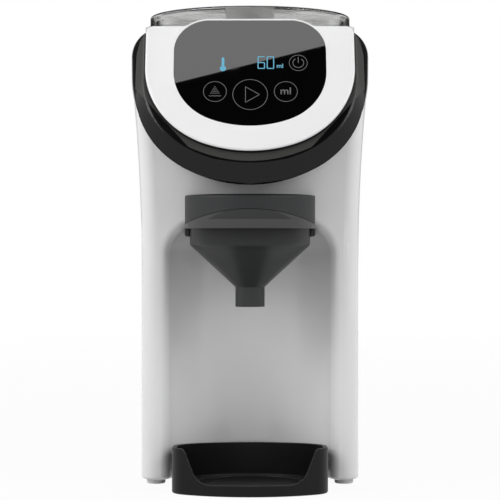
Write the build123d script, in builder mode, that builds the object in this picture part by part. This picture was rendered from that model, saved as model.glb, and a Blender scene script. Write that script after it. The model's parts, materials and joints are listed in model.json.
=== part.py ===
"""Countertop baby formula maker.

A white two-part body stands on four rubber feet and has a bottle bay cut into its front. A black collar
carries a tilted white control face. A clear powder container hangs in a well under a hinged lid, and its dosing
disc is turned by a gear motor. Powder and warm water meet in a funnel that slides out of a hood over the bay.
A smoked water tank lifts off the rear base.

Millimetres. X is to the right, Y to the back, Z up. The origin is on the table, under the middle of the machine.
"""

import os
from math import atan2, cos, pi, radians, sin, sqrt, tan

from build123d import *

# ---- Body shells ----
wall = 2.5  # moulded shell thickness
foot_height = 3.0
foot_radius = 6.0
front_y = -80.0  # front wall of the body
back_y = 72.0  # rear wall of the body, in front of the tank
rear_y = 144.0  # back of the rear base
seam_y = 10.0  # where the front and rear shells meet
body_half_width = 69.8  # sides, up to flare_z
flare_half_width = 75.0  # sides, from flare_top_z up
flare_z = 140.0
flare_top_z = 250.0
body_top_z = 264.0
front_corner_radius = 10.0
back_corner_chamfer = 3.0
base_top_z = 34.0  # top of the rear base, under the tank
base_corner_radius = 35.0
bottom_edge_fillet = 2.0
shell_gap = 0.3  # between a shell and what is let into it
plate_thickness = 3.0  # bottom plate

# ---- Bottle bay ----
axis_y = -92.0  # vertical axis of bottle, funnel and tray
bay_radius = 54.0
bay_top_z = 166.5
bay_top_fillet = 20.0
bay_edge_fillet = 6.5

# ---- Control face ----
face_tilt = 25.7  # lean of the face from vertical, degrees
face_low_y = -140.0  # lowest point of the face's outline
face_low_z = 210.9
face_half_width = 65.2
face_height = 88.9  # along the slope
face_corner_radius = 58.0
face_belly_radius = 80.0
face_shoulder_radius = 5.0
bezel_thickness = 8.0
bezel_edge_fillet = 1.3
tongue_blend_radius = 6.0  # where the rim round the glass rises out of the face's top
glass_half_width = 47.3
glass_low = 16.9  # bottom of the glass, above the bottom of the face
glass_height = 75.6
glass_corner_radius = 36.7
glass_belly_radius = 66.0
glass_shoulder_radius = 22.0
glass_thickness = 1.6
glass_gap = 0.15
glass_rim = 1.8  # white rim round the top of the glass
glass_ledge = 4.0  # width of the ledge that the glass sits on

# ---- Collar ----
collar_half_width = 77.5
collar_front_half_width = 74.6
collar_rear_half_width = 77.0
collar_back_half_width = 76.5
collar_front_low_z = 192.0
collar_mid_low_z = 194.0
collar_rear_low_z = 212.0
collar_back_low_z = 236.0
collar_mid_y = -40.0
collar_rear_y = 20.0
collar_top_z = 291.0
collar_corner_radius = 67.0
collar_belly_radius = 89.0
collar_rear_corner_radius = 50.0
collar_rear_belly_radius = 120.0
collar_back_corner_radius = 25.0
collar_back_belly_radius = 300.0
collar_shoulder_radius = 16.0
collar_lip = 1.0  # the bezel overhangs the collar by this
bezel_proud = 3.0  # the bezel stands out of the rim by this
rim_face_half_width = 66.8
rim_face_low = -8.0  # below the bottom of the control face, along the slope
rim_face_corner_radius = 60.0
rim_face_belly_radius = 86.0
rim_face_shoulder_radius = 6.0
rim_bevel_depth = 8.0
rim_half_width = 71.4
rim_low = -17.0
rim_corner_radius = 64.0
rim_belly_radius = 90.0
rim_shoulder_radius = 9.0
rim_edge_fillet = 2.0
rim_sink = 1.0  # the rim's run ends this deep in the collar
rim_overlap = 6.0  # and this far behind the body's front

# ---- Powder container and lid ----
hopper_y = -24.0  # vertical axis of the container, its dosing disc and the lid
container_radius = 57.5
container_wall = 2.0
container_floor_z = 222.0
container_floor = 2.5
flange_radius = 64.5
flange_low_z = 291.2
flange_thickness = 2.0
neck_radius = 62.5
neck_top_z = 301.0
skirt_radius = 44.0  # round the dosing disc, under the container
skirt_wall = 2.0
skirt_low_z = 208.0
lid_radius = 66.5
lid_low_z = 295.5
lid_top_z = 305.0
lid_wall = 1.8
lid_top_thickness = 2.2
lid_edge_fillet = 1.6
lid_tab_width = 29.0
lid_tab_reach = 2.2
lid_tab_height = 7.0
lid_clip_width = 16.0
lid_clip_thickness = 1.6
lid_clip_drop = 3.0
hinge_pin_radius = 1.5
hinge_knuckle_radius = 3.2
hinge_offset = 5.2  # hinge axis behind the lid's rim
hinge_z = 297.0
hinge_width = 34.0
hinge_lug_width = 7.0
hinge_play = 0.05  # radial play of a hinge pin
side_gap = 0.4  # between hinge knuckles

# ---- Well and deck ----
well_gap = 1.0
well_wall = 2.0
well_floor_z = 205.0
well_cut_gap = 1.0  # round the well where it passes through the collar's belly
deck_half_width = 66.0
deck_back_y = 66.0
deck_thickness = 2.5
deck_corner_radius = 10.0

# ---- Dosing drive ----
gear_module = 1.5
disc_teeth = 48
pinion_teeth = 12
tooth_share = 0.4  # tooth width at the pitch circle, as a share of the pitch
tooth_slope = 20.0  # flank angle, degrees
tooth_addendum = 0.8  # in modules
tooth_dedendum = 1.2
end_gap = 0.3  # above and below the dosing disc
dosing_base_thickness = 2.5
pocket_radius = 6.5
pocket_count = 6
pocket_circle = 26.0
shaft_radius = 4.0
running_gap = 0.05  # radial play of a shaft in its bush
press_gap = 0.1  # between the dosing base and its skirt
stirrer_hub_radius = 8.0
stirrer_hub_height = 22.0
stirrer_arms = 4
stirrer_arm_width = 5.0
stirrer_arm_thickness = 3.0
stirrer_finger_height = 16.0
stirrer_clearance = 3.0  # from the container's wall
pinion_clearance = 1.2
pinion_shaft_radius = 3.0
pinion_shaft_depth = 8.0  # in the motor
motor_radius = 17.0
motor_length = 40.0

# ---- Hood ----
hood_radius = 41.2
hood_wall = 2.8
hood_top_z = 184.5
hood_low_z = 159.0
hood_back_y = -47.0
hood_top_fillet = 2.0
arch_side_z = 166.5  # the front arch, at the hood's sides
arch_mid_z = 175.5
groove_depth = 1.8

# ---- Funnel, chute and nozzle ----
slide_gap = 0.3
band_inset = 0.2  # the funnel's band inside the hood's outer face
flange_z = 163.5  # underside of the funnel's flange
funnel_flange = 2.5
bowl_radius = 38.0
bowl_low_z = 153.2
spout_radius = 9.3
spout_top_z = 126.6
spout_low_z = 114.2
spout_bore = 7.5
funnel_wall = 1.8
funnel_back_y = -56.0
funnel_fillet = 3.0
chute_radius = 8.5
chute_wall = 1.6
chute_exit_y = -64.0
nozzle_x = -24.0
nozzle_y = -68.0
nozzle_radius = 3.5
nozzle_bore = 1.5
nozzle_low_z = 177.0
nozzle_flange_radius = 7.0
nozzle_flange = 2.0

# ---- Drip tray ----
tray_half_width = 48.3
tray_front_y = -144.0
tray_front_radius = 74.0
tray_front_corner = 15.0
tray_height = 29.0  # of the rim at its front end
tray_back_height = 23.7
tray_wall = 2.5
tray_floor = 3.0
tray_edge_fillet = 1.2
dip_low_z = 7.0
dip_half_low = 32.0
dip_half_high = 41.0
dip_low_fillet = 11.0
dip_rim_fillet = 5.0
dip_back_y = -104.0
rib_height = 1.2
rib_width = 1.6
rib_spacing = 8.0
rib_count = 4
rib_first_radius = 10.0
tongue_half_width = 14.0
tongue_height = 5.0
tongue_low_z = 8.0
tongue_reach = 4.0  # past the bay's wall
tongue_gap = 0.5

# ---- Water tank ----
tank_half_width = 68.5
tank_gap = 1.2  # between the tank and the body and base
tank_rear_y = 139.0
tank_wall = 2.2
tank_top_z = 282.0
tank_front_radius = 6.0
tank_rear_radius = 30.0
tank_mid_y = 106.0
boss_radius = 11.0
boss_depth = 8.0
boss_floor = 2.0
valve_chamber_radius = 8.0
valve_hole_radius = 3.2
valve_head_radius = 6.5
valve_head_thickness = 2.2
valve_stem_radius = 2.0
valve_stem_reach = 1.5  # below the boss
valve_rest = 0.1  # between the valve's head and its seat
valve_travel = 3.0
cage_thickness = 1.6
spring_wire = 0.4
spring_radius = 4.2
spring_turns = 4
seal_wire = 0.9
float_x = 42.0
float_radius = 9.0
float_height = 12.0
float_rod_radius = 2.5
float_gap = 0.4
float_travel = 20.0
float_stop_radius = 4.5
float_stop = 2.0
tank_lid_low_z = 282.3
tank_lid_thickness = 7.7
tank_lid_wall = 2.0
tank_lid_lip = 6.0  # depth of the lip inside the tank
tank_lid_lip_gap = 0.6
tank_hinge_rise = 3.7  # axis above the lid's underside
tank_knuckle_radius = 2.4
tank_pin_radius = 1.2
tank_hinge_width = 40.0
tank_lug_width = 8.0
seat_radius = 15.0
seat_depth = 13.0
seat_floor = 3.0
seat_gap = 0.4  # round the tank's boss
post_radius = 1.5

# ---- Water and power inside ----
hose_radius = 3.0
hose_bore = 2.1
nipple_radius = 2.0
nipple_length = 6.0
hose_start = 0.5  # from a nipple's root to the hose's end
hose_bend = 12.0
pump_x = 38.0
pump_y = 40.0
pump_radius = 16.0
pump_height = 52.0
hose_z = 26.0  # level of the hose from the tank to the pump
heater_x = -34.0
heater_width = 46.0
heater_depth = 32.0
heater_height = 92.0
heater_low_z = 30.0
heater_fin_depth = 1.5
heater_fins = 6
heater_inlet_z = 88.0
thermostat_radius = 8.0
thermostat_thickness = 5.0
thermostat_z = 104.0
bracket_sheet = 2.0
bracket_depth = 20.0
nozzle_hose_z = 191.0
board_width = 96.0
board_height = 74.0
board_thickness = 1.6
board_low_z = 128.0
standoff_length = 7.0
standoff_radius = 2.5
standoff_inset = 5.0
chip_height = 8.0
key_pad_x = 20.0
key_pad_radius = 5.0
key_pad_rise = 24.0  # from the glass's lower edge
middle_pad_rise = 20.0
control_board_margin = 2.5  # outside the window in the bezel
display_half_width = 32.0
display_height = 34.0
display_thickness = 3.0
display_corner = 2.0
display_post_radius = 2.0
display_post_inset = 4.0
inlet_x = -16.0
inlet_width = 27.0
inlet_height = 19.5
inlet_depth = 21.0
inlet_mid_z = 18.0
inlet_wall = 2.0
inlet_flange = 2.0
pin_length = 12.0
pin_width = 2.4
pin_thickness = 1.4
pin_spacing = 9.0
screw_radius = 1.5
screw_head_radius = 2.8
screw_head = 1.6
screw_length = 9.0
screw_gap = 0.2
screw_boss_radius = 4.5
screw_boss_height = 14.0
screw_inset = 7.5  # from the body's side
front_screw_y = -52.0
middle_screw_y = 20.0
rear_foot_x = 48.0
rear_foot_y = 124.0
front_foot_x = 60.5
front_foot_y = -69.5

# ---- Worked out from the above ----
slope = radians(face_tilt)
face_plane = Plane(origin=(0, face_low_y, face_low_z), x_dir=(1, 0, 0), z_dir=(0, -cos(slope), sin(slope)))
bezel_back_plane = face_plane.offset(-bezel_thickness)
rim_face_plane = face_plane.offset(-bezel_proud)
rim_back_plane = rim_face_plane.offset(-rim_bevel_depth)
glass_top = glass_low + glass_height
body_inner_half = body_half_width - wall
plate_top_z = foot_height + plate_thickness
tank_y = back_y + tank_gap
tank_low_z = base_top_z + tank_gap
well_radius = container_radius + well_gap
well_outer_radius = well_radius + well_wall
well_low_z = well_floor_z - well_wall
deck_low_z = collar_top_z - deck_thickness
deck_front_y = bezel_back_plane.origin.Y + (collar_top_z - bezel_back_plane.origin.Z) * tan(slope) + shell_gap
disc_pitch = gear_module * disc_teeth / 2
pinion_pitch = gear_module * pinion_teeth / 2
pinion_outer = pinion_pitch + tooth_addendum * gear_module
pinion_y = hopper_y + disc_pitch + pinion_pitch
dosing_base_top_z = skirt_low_z + dosing_base_thickness
disc_low_z = dosing_base_top_z + end_gap
disc_top_z = container_floor_z - end_gap
container_floor_top_z = container_floor_z + container_floor
hinge_y = hopper_y + lid_radius + hinge_offset
hood_inner = hood_radius - hood_wall
outlet_y = hopper_y - pocket_circle
chute_bore = chute_radius - chute_wall
tank_hinge_y = rear_y - tank_knuckle_radius
tank_hinge_z = tank_lid_low_z + tank_hinge_rise
tank_floor_z = tank_low_z + tank_wall
boss_low_z = tank_low_z - boss_depth
valve_seat_z = boss_low_z + boss_floor
pump_low_z = plate_top_z
heater_side_x = heater_x + heater_width / 2


def save(piece, name):
    """Labels a finished piece and writes its STEP file."""
    piece.part.label = name
    export_step(piece.part, f"parts/{name}.step")


def vertical(y):
    """The plane that faces the front at this Y, with local x along X and local y along Z."""
    return Plane.XZ.offset(-y)


def shield(half, low, top, corner, belly, shoulder):
    """Lines of a shield in the current BuildLine: flat top, straight sides and a round belly of three arcs."""
    drop = sqrt((belly - corner) ** 2 - (half - corner) ** 2)
    level = low + belly - drop
    swing = atan2(-drop, half - corner)
    joint = (half - corner + corner * cos(swing), level + corner * sin(swing))
    bend = (half - corner + corner * cos(swing / 2), level + corner * sin(swing / 2))
    cut = shoulder * (1 - sqrt(0.5))
    Line((-half + shoulder, top), (half - shoulder, top))
    ThreePointArc((half - shoulder, top), (half - cut, top - cut), (half, top - shoulder))
    Line((half, top - shoulder), (half, level))
    ThreePointArc((half, level), bend, joint)
    ThreePointArc(joint, (0, low), (-joint[0], joint[1]))
    ThreePointArc((-joint[0], joint[1]), (-bend[0], bend[1]), (-half, level))
    Line((-half, level), (-half, top - shoulder))
    ThreePointArc((-half, top - shoulder), (-half + cut, top - cut), (-half + shoulder, top))


def face_outline(inset, shoulder=face_shoulder_radius):
    """The control face's outline, drawn in by inset."""
    shield(
        face_half_width - inset,
        inset,
        face_height - inset,
        face_corner_radius - inset,
        face_belly_radius - inset,
        shoulder,
    )


def glass_outline(inset):
    """The glass's outline, drawn in by inset."""
    shield(
        glass_half_width - inset,
        glass_low + inset,
        glass_top - inset,
        glass_corner_radius - inset,
        glass_belly_radius - inset,
        glass_shoulder_radius - inset,
    )


def body_block(inset, low):
    """The body's filled outline, drawn in by inset, with the bottle bay cut into its front."""
    half = body_half_width - inset
    flare = flare_half_width - inset
    with BuildPart() as block:
        with BuildSketch(vertical(front_y + inset)):
            with BuildLine():
                Line((-half, low), (half, low))
                Line((half, low), (half, flare_z))
                TangentArc((half, flare_z), (flare, flare_top_z), tangent=(0, 1))
                Line((flare, flare_top_z), (flare, body_top_z))
                Line((flare, body_top_z), (-flare, body_top_z))
                Line((-flare, body_top_z), (-flare, flare_top_z))
                TangentArc((-half, flare_z), (-flare, flare_top_z), tangent=(0, 1))
                Line((-half, flare_z), (-half, low))
            make_face()
        extrude(amount=-(back_y - front_y - 2 * inset))
        front_sides = block.faces().sort_by(Axis.Y)[0].edges().filter_by(lambda edge: abs(edge.center().X) > half - 1)
        fillet(front_sides, front_corner_radius - inset)
        if inset == 0:
            back = block.faces().sort_by(Axis.Y)[-1]
            chamfer(back.edges().filter_by(lambda edge: abs(edge.center().X) > half - 1), back_corner_chamfer)
    bay = bay_block(inset, low - wall)
    with BuildPart() as carved:
        add(block.part)
        add(bay, mode=Mode.SUBTRACT)
        front = carved.faces().sort_by(Axis.Y)[0]
        mouth = [edge for edge in front.edges() if edge.center().Z > low + 1 and abs(edge.center().X) < bay_radius]
        fillet([edge for edge in mouth if edge.center().Z < bay_top_z + inset + 1], bay_edge_fillet - inset)
        if inset == 0:
            fillet(carved.faces().sort_by(Axis.Z)[0].edges(), bottom_edge_fillet)
    return carved.part


def bay_block(inset, low):
    """The bottle bay: a cylinder with a rounded ceiling, grown by inset."""
    with BuildPart() as block:
        with BuildSketch(Plane.XY.offset(low)):
            with Locations((0, axis_y)):
                Circle(bay_radius + inset)
        extrude(amount=bay_top_z + inset - low)
        fillet(block.faces().sort_by(Axis.Z)[-1].edges(), bay_top_fillet + inset)
    return block.part


def base_block(inset, low):
    """The rear base's filled outline, drawn in by inset."""
    rear = rear_y - inset
    with BuildPart() as block:
        with BuildSketch(Plane.XY.offset(low)) as outline:
            with Locations((0, (seam_y + rear) / 2)):
                Rectangle(2 * (body_half_width - inset), rear - seam_y)
            fillet(outline.vertices().group_by(Axis.Y)[-1], base_corner_radius - inset)
        extrude(amount=base_top_z - inset - low)
        if inset == 0:
            rim = block.faces().sort_by(Axis.Z)[0].edges()
            fillet([edge for edge in rim if edge.center().Y > seam_y + 1], bottom_edge_fillet)
    return block.part


def collar_block(inset):
    """The collar's filled outline, drawn in by inset: a shield that widens from the face and rises to the rear."""
    with BuildPart() as block:
        with BuildSketch(bezel_back_plane):
            with BuildLine():
                face_outline(collar_lip + inset, face_shoulder_radius - inset)
            make_face()
        with BuildSketch(vertical(front_y)):
            with BuildLine():
                collar_front_outline(inset)
            make_face()
        with BuildSketch(vertical(collar_mid_y)):
            with BuildLine():
                shield(
                    collar_half_width - inset,
                    collar_mid_low_z + inset,
                    collar_top_z - inset,
                    collar_corner_radius - inset,
                    collar_belly_radius - inset,
                    collar_shoulder_radius - inset,
                )
            make_face()
        with BuildSketch(vertical(collar_rear_y)):
            with BuildLine():
                shield(
                    collar_rear_half_width - inset,
                    collar_rear_low_z + inset,
                    collar_top_z - inset,
                    collar_rear_corner_radius - inset,
                    collar_rear_belly_radius - inset,
                    collar_shoulder_radius - inset,
                )
            make_face()
        with BuildSketch(vertical(back_y - max(inset, 0))):
            with BuildLine():
                shield(
                    collar_back_half_width - inset,
                    collar_back_low_z + inset,
                    collar_top_z - inset,
                    collar_back_corner_radius - inset,
                    collar_back_belly_radius - inset,
                    collar_shoulder_radius - inset,
                )
            make_face()
        loft()
    return block.part


def rim_outline(inset):
    """The outline of the rim's widest part, drawn in by inset."""
    shield(
        rim_half_width - inset,
        rim_low + inset,
        face_height - collar_lip - inset,
        rim_corner_radius - inset,
        rim_belly_radius - inset,
        rim_shoulder_radius - inset,
    )


def collar_front_outline(inset):
    """The collar's outline above the body's front, drawn in by inset."""
    shield(
        collar_front_half_width - inset,
        collar_front_low_z + inset,
        collar_top_z - inset,
        collar_corner_radius - inset,
        collar_belly_radius - inset,
        collar_shoulder_radius - inset,
    )


def rim_front():
    """The bevelled rim round the bezel, from its flat face back to its widest part."""
    with BuildPart() as block:
        with BuildSketch(rim_face_plane):
            with BuildLine():
                shield(
                    rim_face_half_width,
                    rim_face_low,
                    face_height - collar_lip,
                    rim_face_corner_radius,
                    rim_face_belly_radius,
                    rim_face_shoulder_radius,
                )
            make_face()
        with BuildSketch(rim_back_plane):
            with BuildLine():
                rim_outline(0)
            make_face()
        loft(ruled=True)
        front = block.faces().sort_by(Axis(face_plane.origin, face_plane.z_dir))[-1]
        fillet(front.edges(), rim_edge_fillet)
    return block.part


def rim_run(inset):
    """The rim's run from its widest part back to the collar, drawn in by inset."""
    with BuildPart() as block:
        with BuildSketch(rim_back_plane):
            with BuildLine():
                rim_outline(inset)
            make_face()
        with BuildSketch(vertical(front_y + rim_overlap)):
            with BuildLine():
                collar_front_outline(rim_sink + inset)
            make_face()
        loft(ruled=True)
    return block.part


def hood_block(inset, low, top):
    """The hood's filled outline, drawn in by inset: a half round front and straight sides."""
    back = hood_back_y - inset
    with BuildPart() as block:
        with BuildSketch(Plane.XY.offset(low)):
            with Locations((0, axis_y)):
                Circle(hood_radius - inset)
            with Locations((0, (axis_y + back) / 2)):
                Rectangle(2 * (hood_radius - inset), back - axis_y)
        extrude(amount=top - low)
    return block.part


def arch_lines(drop):
    """Lines of the region under the hood's front arch, lowered by drop, in the current BuildLine."""
    Line((-hood_radius, hood_low_z - 1), (hood_radius, hood_low_z - 1))
    Line((hood_radius, hood_low_z - 1), (hood_radius, arch_side_z - drop))
    ThreePointArc(
        (hood_radius, arch_side_z - drop),
        (0, arch_mid_z - drop),
        (-hood_radius, arch_side_z - drop),
    )
    Line((-hood_radius, arch_side_z - drop), (-hood_radius, hood_low_z - 1))


def tray_lines(inset):
    """Lines of the tray's plan, drawn in by inset: half round at the back and a wide bow at the front."""
    half = tray_half_width - inset
    bow = tray_front_radius - inset
    bow_y = tray_front_y + tray_front_radius
    corner_y = bow_y - sqrt(bow**2 - half**2)
    ThreePointArc((-half, axis_y), (0, axis_y + half), (half, axis_y))
    Line((half, axis_y), (half, corner_y))
    ThreePointArc((half, corner_y), (0, tray_front_y + inset), (-half, corner_y))
    Line((-half, corner_y), (-half, axis_y))


def tray_block(inset, low, top):
    """A filled block of the tray's plan, drawn in by inset."""
    with BuildPart() as block:
        with BuildSketch(Plane.XY.offset(low)) as outline:
            with BuildLine():
                tray_lines(inset)
            make_face()
            fillet(outline.vertices().group_by(Axis.Y)[0], tray_front_corner - inset)
        extrude(amount=top - low)
    return block.part


def tank_block(inset, low, top):
    """A filled block of the tank's plan, drawn in by inset."""
    front = tank_y + inset
    rear = tank_rear_y - inset
    with BuildPart() as block:
        with BuildSketch(Plane.XY.offset(low)) as outline:
            with Locations((0, (front + rear) / 2)):
                Rectangle(2 * (tank_half_width - inset), rear - front)
            fillet(outline.vertices().group_by(Axis.Y)[0], tank_front_radius - inset)
            fillet(outline.vertices().group_by(Axis.Y)[-1], tank_rear_radius - inset)
        extrude(amount=top - low)
    return block.part


def gear_profile(teeth, turn):
    """A spur gear's outline in the current BuildSketch, with one tooth at the angle turn."""
    pitch_radius = gear_module * teeth / 2
    root = pitch_radius - tooth_dedendum * gear_module
    tip = pitch_radius + tooth_addendum * gear_module
    half_tooth = tooth_share * pi * gear_module / 2
    half_tip = half_tooth - (tip - pitch_radius) * tan(radians(tooth_slope))
    half_root = half_tooth + (pitch_radius - root) * tan(radians(tooth_slope))
    bed = root - gear_module / 3
    Circle(root)
    with PolarLocations(0, teeth, start_angle=turn):
        Polygon((bed, -half_root), (root, -half_root), (tip, -half_tip), (tip, half_tip), (root, half_root),
                (bed, half_root), align=None)


def hose(points):
    """A hose through these points, with round bends."""
    with BuildPart() as tube:
        with BuildLine() as path:
            FilletPolyline(*points, radius=hose_bend)
        start = path.wire() @ 0
        heading = path.wire() % 0
        with BuildSketch(Plane(origin=start, z_dir=heading)):
            Circle(hose_radius)
            Circle(hose_bore, mode=Mode.SUBTRACT)
        sweep()
    return tube


os.makedirs("parts", exist_ok=True)

# ---- Shared solids that several pieces are cut from ----
body_outer = body_block(0, foot_height)
body_inner = body_block(wall, foot_height - wall)
base_outer = base_block(0, foot_height)
base_inner = base_block(wall, foot_height - wall)
collar_outer = collar_block(0)
collar_inner = collar_block(wall)
collar_room = collar_block(-shell_gap)
hood_room = hood_block(-shell_gap, hood_low_z - shell_gap, hood_top_z + shell_gap)
screw_x = body_half_width - screw_inset
front_screws = [(-screw_x, front_screw_y), (screw_x, front_screw_y)]
rear_screws = [(-screw_x, middle_screw_y), (screw_x, middle_screw_y)]
rear_screws += [(-screw_x, back_y), (screw_x, back_y)]

# ---- Front shell: front wall, sides and bottle bay ----
with BuildPart() as front_shell:
    add(body_outer)
    add(body_inner, mode=Mode.SUBTRACT)
    split(bisect_by=Plane.XZ.offset(-seam_y), keep=Keep.TOP)
    with BuildSketch(Plane.XY.offset(plate_top_z)):
        with Locations(*front_screws):
            Circle(screw_boss_radius)
            Rectangle(2 * screw_inset - wall, 2 * wall)
    extrude(amount=screw_boss_height)
    with Locations(*[(x, y, plate_top_z) for x, y in front_screws]):
        Cylinder(screw_radius + screw_gap, screw_boss_height, align=(Align.CENTER, Align.CENTER, Align.MIN),
                 mode=Mode.SUBTRACT)
    add(collar_room, mode=Mode.SUBTRACT)
    add(hood_room, mode=Mode.SUBTRACT)
    with Locations((0, axis_y + bay_radius, tongue_low_z + tongue_height / 2)):
        Box(2 * (tongue_half_width + tongue_gap), 4 * wall, tongue_height + 2 * tongue_gap, mode=Mode.SUBTRACT)
save(front_shell, "front_shell")

# ---- Rear shell: rear walls and the base under the tank ----
with BuildPart() as rear_shell:
    add(body_outer)
    add(base_outer)
    add(body_inner, mode=Mode.SUBTRACT)
    add(base_inner, mode=Mode.SUBTRACT)
    split(bisect_by=Plane.XZ.offset(-seam_y), keep=Keep.BOTTOM)
    with BuildSketch(Plane.XY.offset(plate_top_z)):
        with Locations(*rear_screws):
            Circle(screw_boss_radius)
            Rectangle(2 * screw_inset - wall, 2 * wall)
    extrude(amount=screw_boss_height)
    with Locations(*[(x, y, plate_top_z) for x, y in rear_screws]):
        Cylinder(screw_radius + screw_gap, screw_boss_height, align=(Align.CENTER, Align.CENTER, Align.MIN),
                 mode=Mode.SUBTRACT)
    add(collar_room, mode=Mode.SUBTRACT)
    with Locations((0, tank_mid_y, base_top_z)):
        Cylinder(seat_radius + shell_gap, 4 * wall, mode=Mode.SUBTRACT)
    with Locations((inlet_x, rear_y, inlet_mid_z)):
        Box(inlet_width + 2 * shell_gap, 4 * wall, inlet_height + 2 * shell_gap, mode=Mode.SUBTRACT)
save(rear_shell, "rear_shell")

# ---- Bottom plate, its screws and the feet ----
with BuildPart() as base_plate:
    with BuildSketch(Plane.XY.offset(foot_height)) as plate_outline:
        plate_front = front_y + wall + shell_gap
        plate_rear = rear_y - wall - shell_gap
        with Locations((0, (plate_front + plate_rear) / 2)):
            Rectangle(2 * (body_inner_half - shell_gap), plate_rear - plate_front)
        fillet(plate_outline.vertices().group_by(Axis.Y)[0], front_corner_radius - wall - shell_gap)
        fillet(plate_outline.vertices().group_by(Axis.Y)[-1], base_corner_radius - wall - shell_gap)
        with Locations((0, axis_y)):
            Circle(bay_radius + wall + shell_gap, mode=Mode.SUBTRACT)
        horns = [point for point in plate_outline.vertices() if abs(point.X) < bay_radius + wall and point.Y < seam_y]
        fillet(horns, bay_edge_fillet - wall)
    extrude(amount=plate_thickness)
    with Locations(*[(x, y, foot_height) for x, y in front_screws + rear_screws]):
        Cylinder(screw_head_radius + screw_gap, screw_head, align=(Align.CENTER, Align.CENTER, Align.MIN),
                 mode=Mode.SUBTRACT)
        Cylinder(screw_radius + screw_gap, plate_thickness, align=(Align.CENTER, Align.CENTER, Align.MIN),
                 mode=Mode.SUBTRACT)
save(base_plate, "base_plate")

with BuildPart() as base_screws:
    with BuildSketch(Plane.XY.offset(foot_height)):
        with Locations(*(front_screws + rear_screws)):
            Circle(screw_head_radius)
            RegularPolygon(screw_radius, 6, mode=Mode.SUBTRACT)
    extrude(amount=screw_head / 2)
    with BuildSketch(Plane.XY.offset(foot_height + screw_head / 2)):
        with Locations(*(front_screws + rear_screws)):
            Circle(screw_head_radius)
    extrude(amount=screw_head / 2)
    with BuildSketch(Plane.XY.offset(foot_height + screw_head)):
        with Locations(*(front_screws + rear_screws)):
            Circle(screw_radius)
    extrude(amount=screw_length)
save(base_screws, "base_screws")

with BuildPart() as rubber_feet:
    feet = [(-front_foot_x, front_foot_y), (front_foot_x, front_foot_y)]
    feet += [(-rear_foot_x, rear_foot_y), (rear_foot_x, rear_foot_y)]
    with BuildSketch():
        with Locations(*feet):
            Circle(foot_radius)
    extrude(amount=foot_height)
    chamfer(rubber_feet.faces().group_by(Axis.Z)[0].edges(), foot_height / 5)
save(rubber_feet, "rubber_feet")

# ---- Collar ----
with BuildPart() as upper_collar:
    add(collar_outer)
    split(bisect_by=bezel_back_plane, keep=Keep.BOTTOM)
    add(rim_front())
    add(rim_run(0))
    add(collar_inner, mode=Mode.SUBTRACT)
    add(rim_run(wall), mode=Mode.SUBTRACT)
    with BuildSketch(bezel_back_plane):
        with BuildLine():
            face_outline(-shell_gap, face_shoulder_radius + shell_gap)
        make_face()
    extrude(amount=bezel_thickness, mode=Mode.SUBTRACT)
    with BuildSketch(Plane.XY.offset(deck_low_z - wall)):
        with Locations((0, (deck_front_y + deck_back_y) / 2 - shell_gap)):
            Rectangle(2 * (deck_half_width + shell_gap), deck_back_y - deck_front_y + 4 * shell_gap)
    extrude(amount=2 * wall + deck_thickness, mode=Mode.SUBTRACT)
    with Locations((0, hopper_y, collar_back_low_z)):
        Cylinder(well_outer_radius + well_cut_gap, 2 * (collar_top_z - collar_back_low_z), mode=Mode.SUBTRACT)
save(upper_collar, "upper_collar")

# ---- Control face: bezel, glass, display and control board ----
with BuildPart() as face_bezel:
    with BuildSketch(face_plane) as bezel_outline:
        with BuildLine():
            face_outline(0)
        make_face()
        with BuildLine():
            glass_outline(-glass_rim)
        make_face()
        inner_corners = [point for point in bezel_outline.vertices() if abs(point.Y - face_height) < 0.01
                         and abs(point.X) < glass_half_width]
        fillet(inner_corners, tongue_blend_radius)
    extrude(amount=-bezel_thickness)
    fillet(face_bezel.faces().filter_by(Plane(face_plane.origin, z_dir=face_plane.z_dir)).sort_by(Axis.Y)[0].edges(),
           bezel_edge_fillet)
    with BuildSketch(face_plane):
        with BuildLine():
            glass_outline(-glass_gap)
        make_face()
    extrude(amount=-glass_thickness, mode=Mode.SUBTRACT)
    with BuildSketch(face_plane):
        with BuildLine():
            glass_outline(glass_ledge)
        make_face()
    extrude(amount=-2 * bezel_thickness, mode=Mode.SUBTRACT)
save(face_bezel, "face_bezel")

with BuildPart() as glass_panel:
    with BuildSketch(face_plane):
        with BuildLine():
            glass_outline(0)
        make_face()
    extrude(amount=-glass_thickness)
save(glass_panel, "glass_panel")

glass_back_plane = face_plane.offset(-glass_thickness)
display_mid = glass_top - glass_shoulder_radius
with BuildPart() as display_module:
    with BuildSketch(glass_back_plane):
        with Locations((0, display_mid)):
            RectangleRounded(2 * display_half_width, display_height, display_corner)
    extrude(amount=-display_thickness)
    with BuildSketch(glass_back_plane.offset(-display_thickness)):
        with Locations((0, display_mid)):
            with GridLocations(
                2 * (display_half_width - display_post_inset), display_height - 2 * display_post_inset, 2, 2
            ):
                Circle(display_post_radius)
    extrude(amount=display_thickness + glass_thickness - bezel_thickness)
save(display_module, "display_module")

with BuildPart() as control_board:
    with BuildSketch(bezel_back_plane):
        with BuildLine():
            glass_outline(glass_ledge - control_board_margin)
        make_face()
        with Locations((0, face_height - collar_lip - wall - shell_gap)):
            Rectangle(2 * glass_half_width, glass_height, align=(Align.CENTER, Align.MIN), mode=Mode.SUBTRACT)
    extrude(amount=-board_thickness)
    with BuildSketch(bezel_back_plane):
        with Locations(
            (-key_pad_x, glass_low + key_pad_rise),
            (key_pad_x, glass_low + key_pad_rise),
            (0, glass_low + middle_pad_rise),
        ):
            Circle(key_pad_radius)
    extrude(amount=bezel_thickness - glass_thickness - end_gap)
save(control_board, "control_board")

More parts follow.
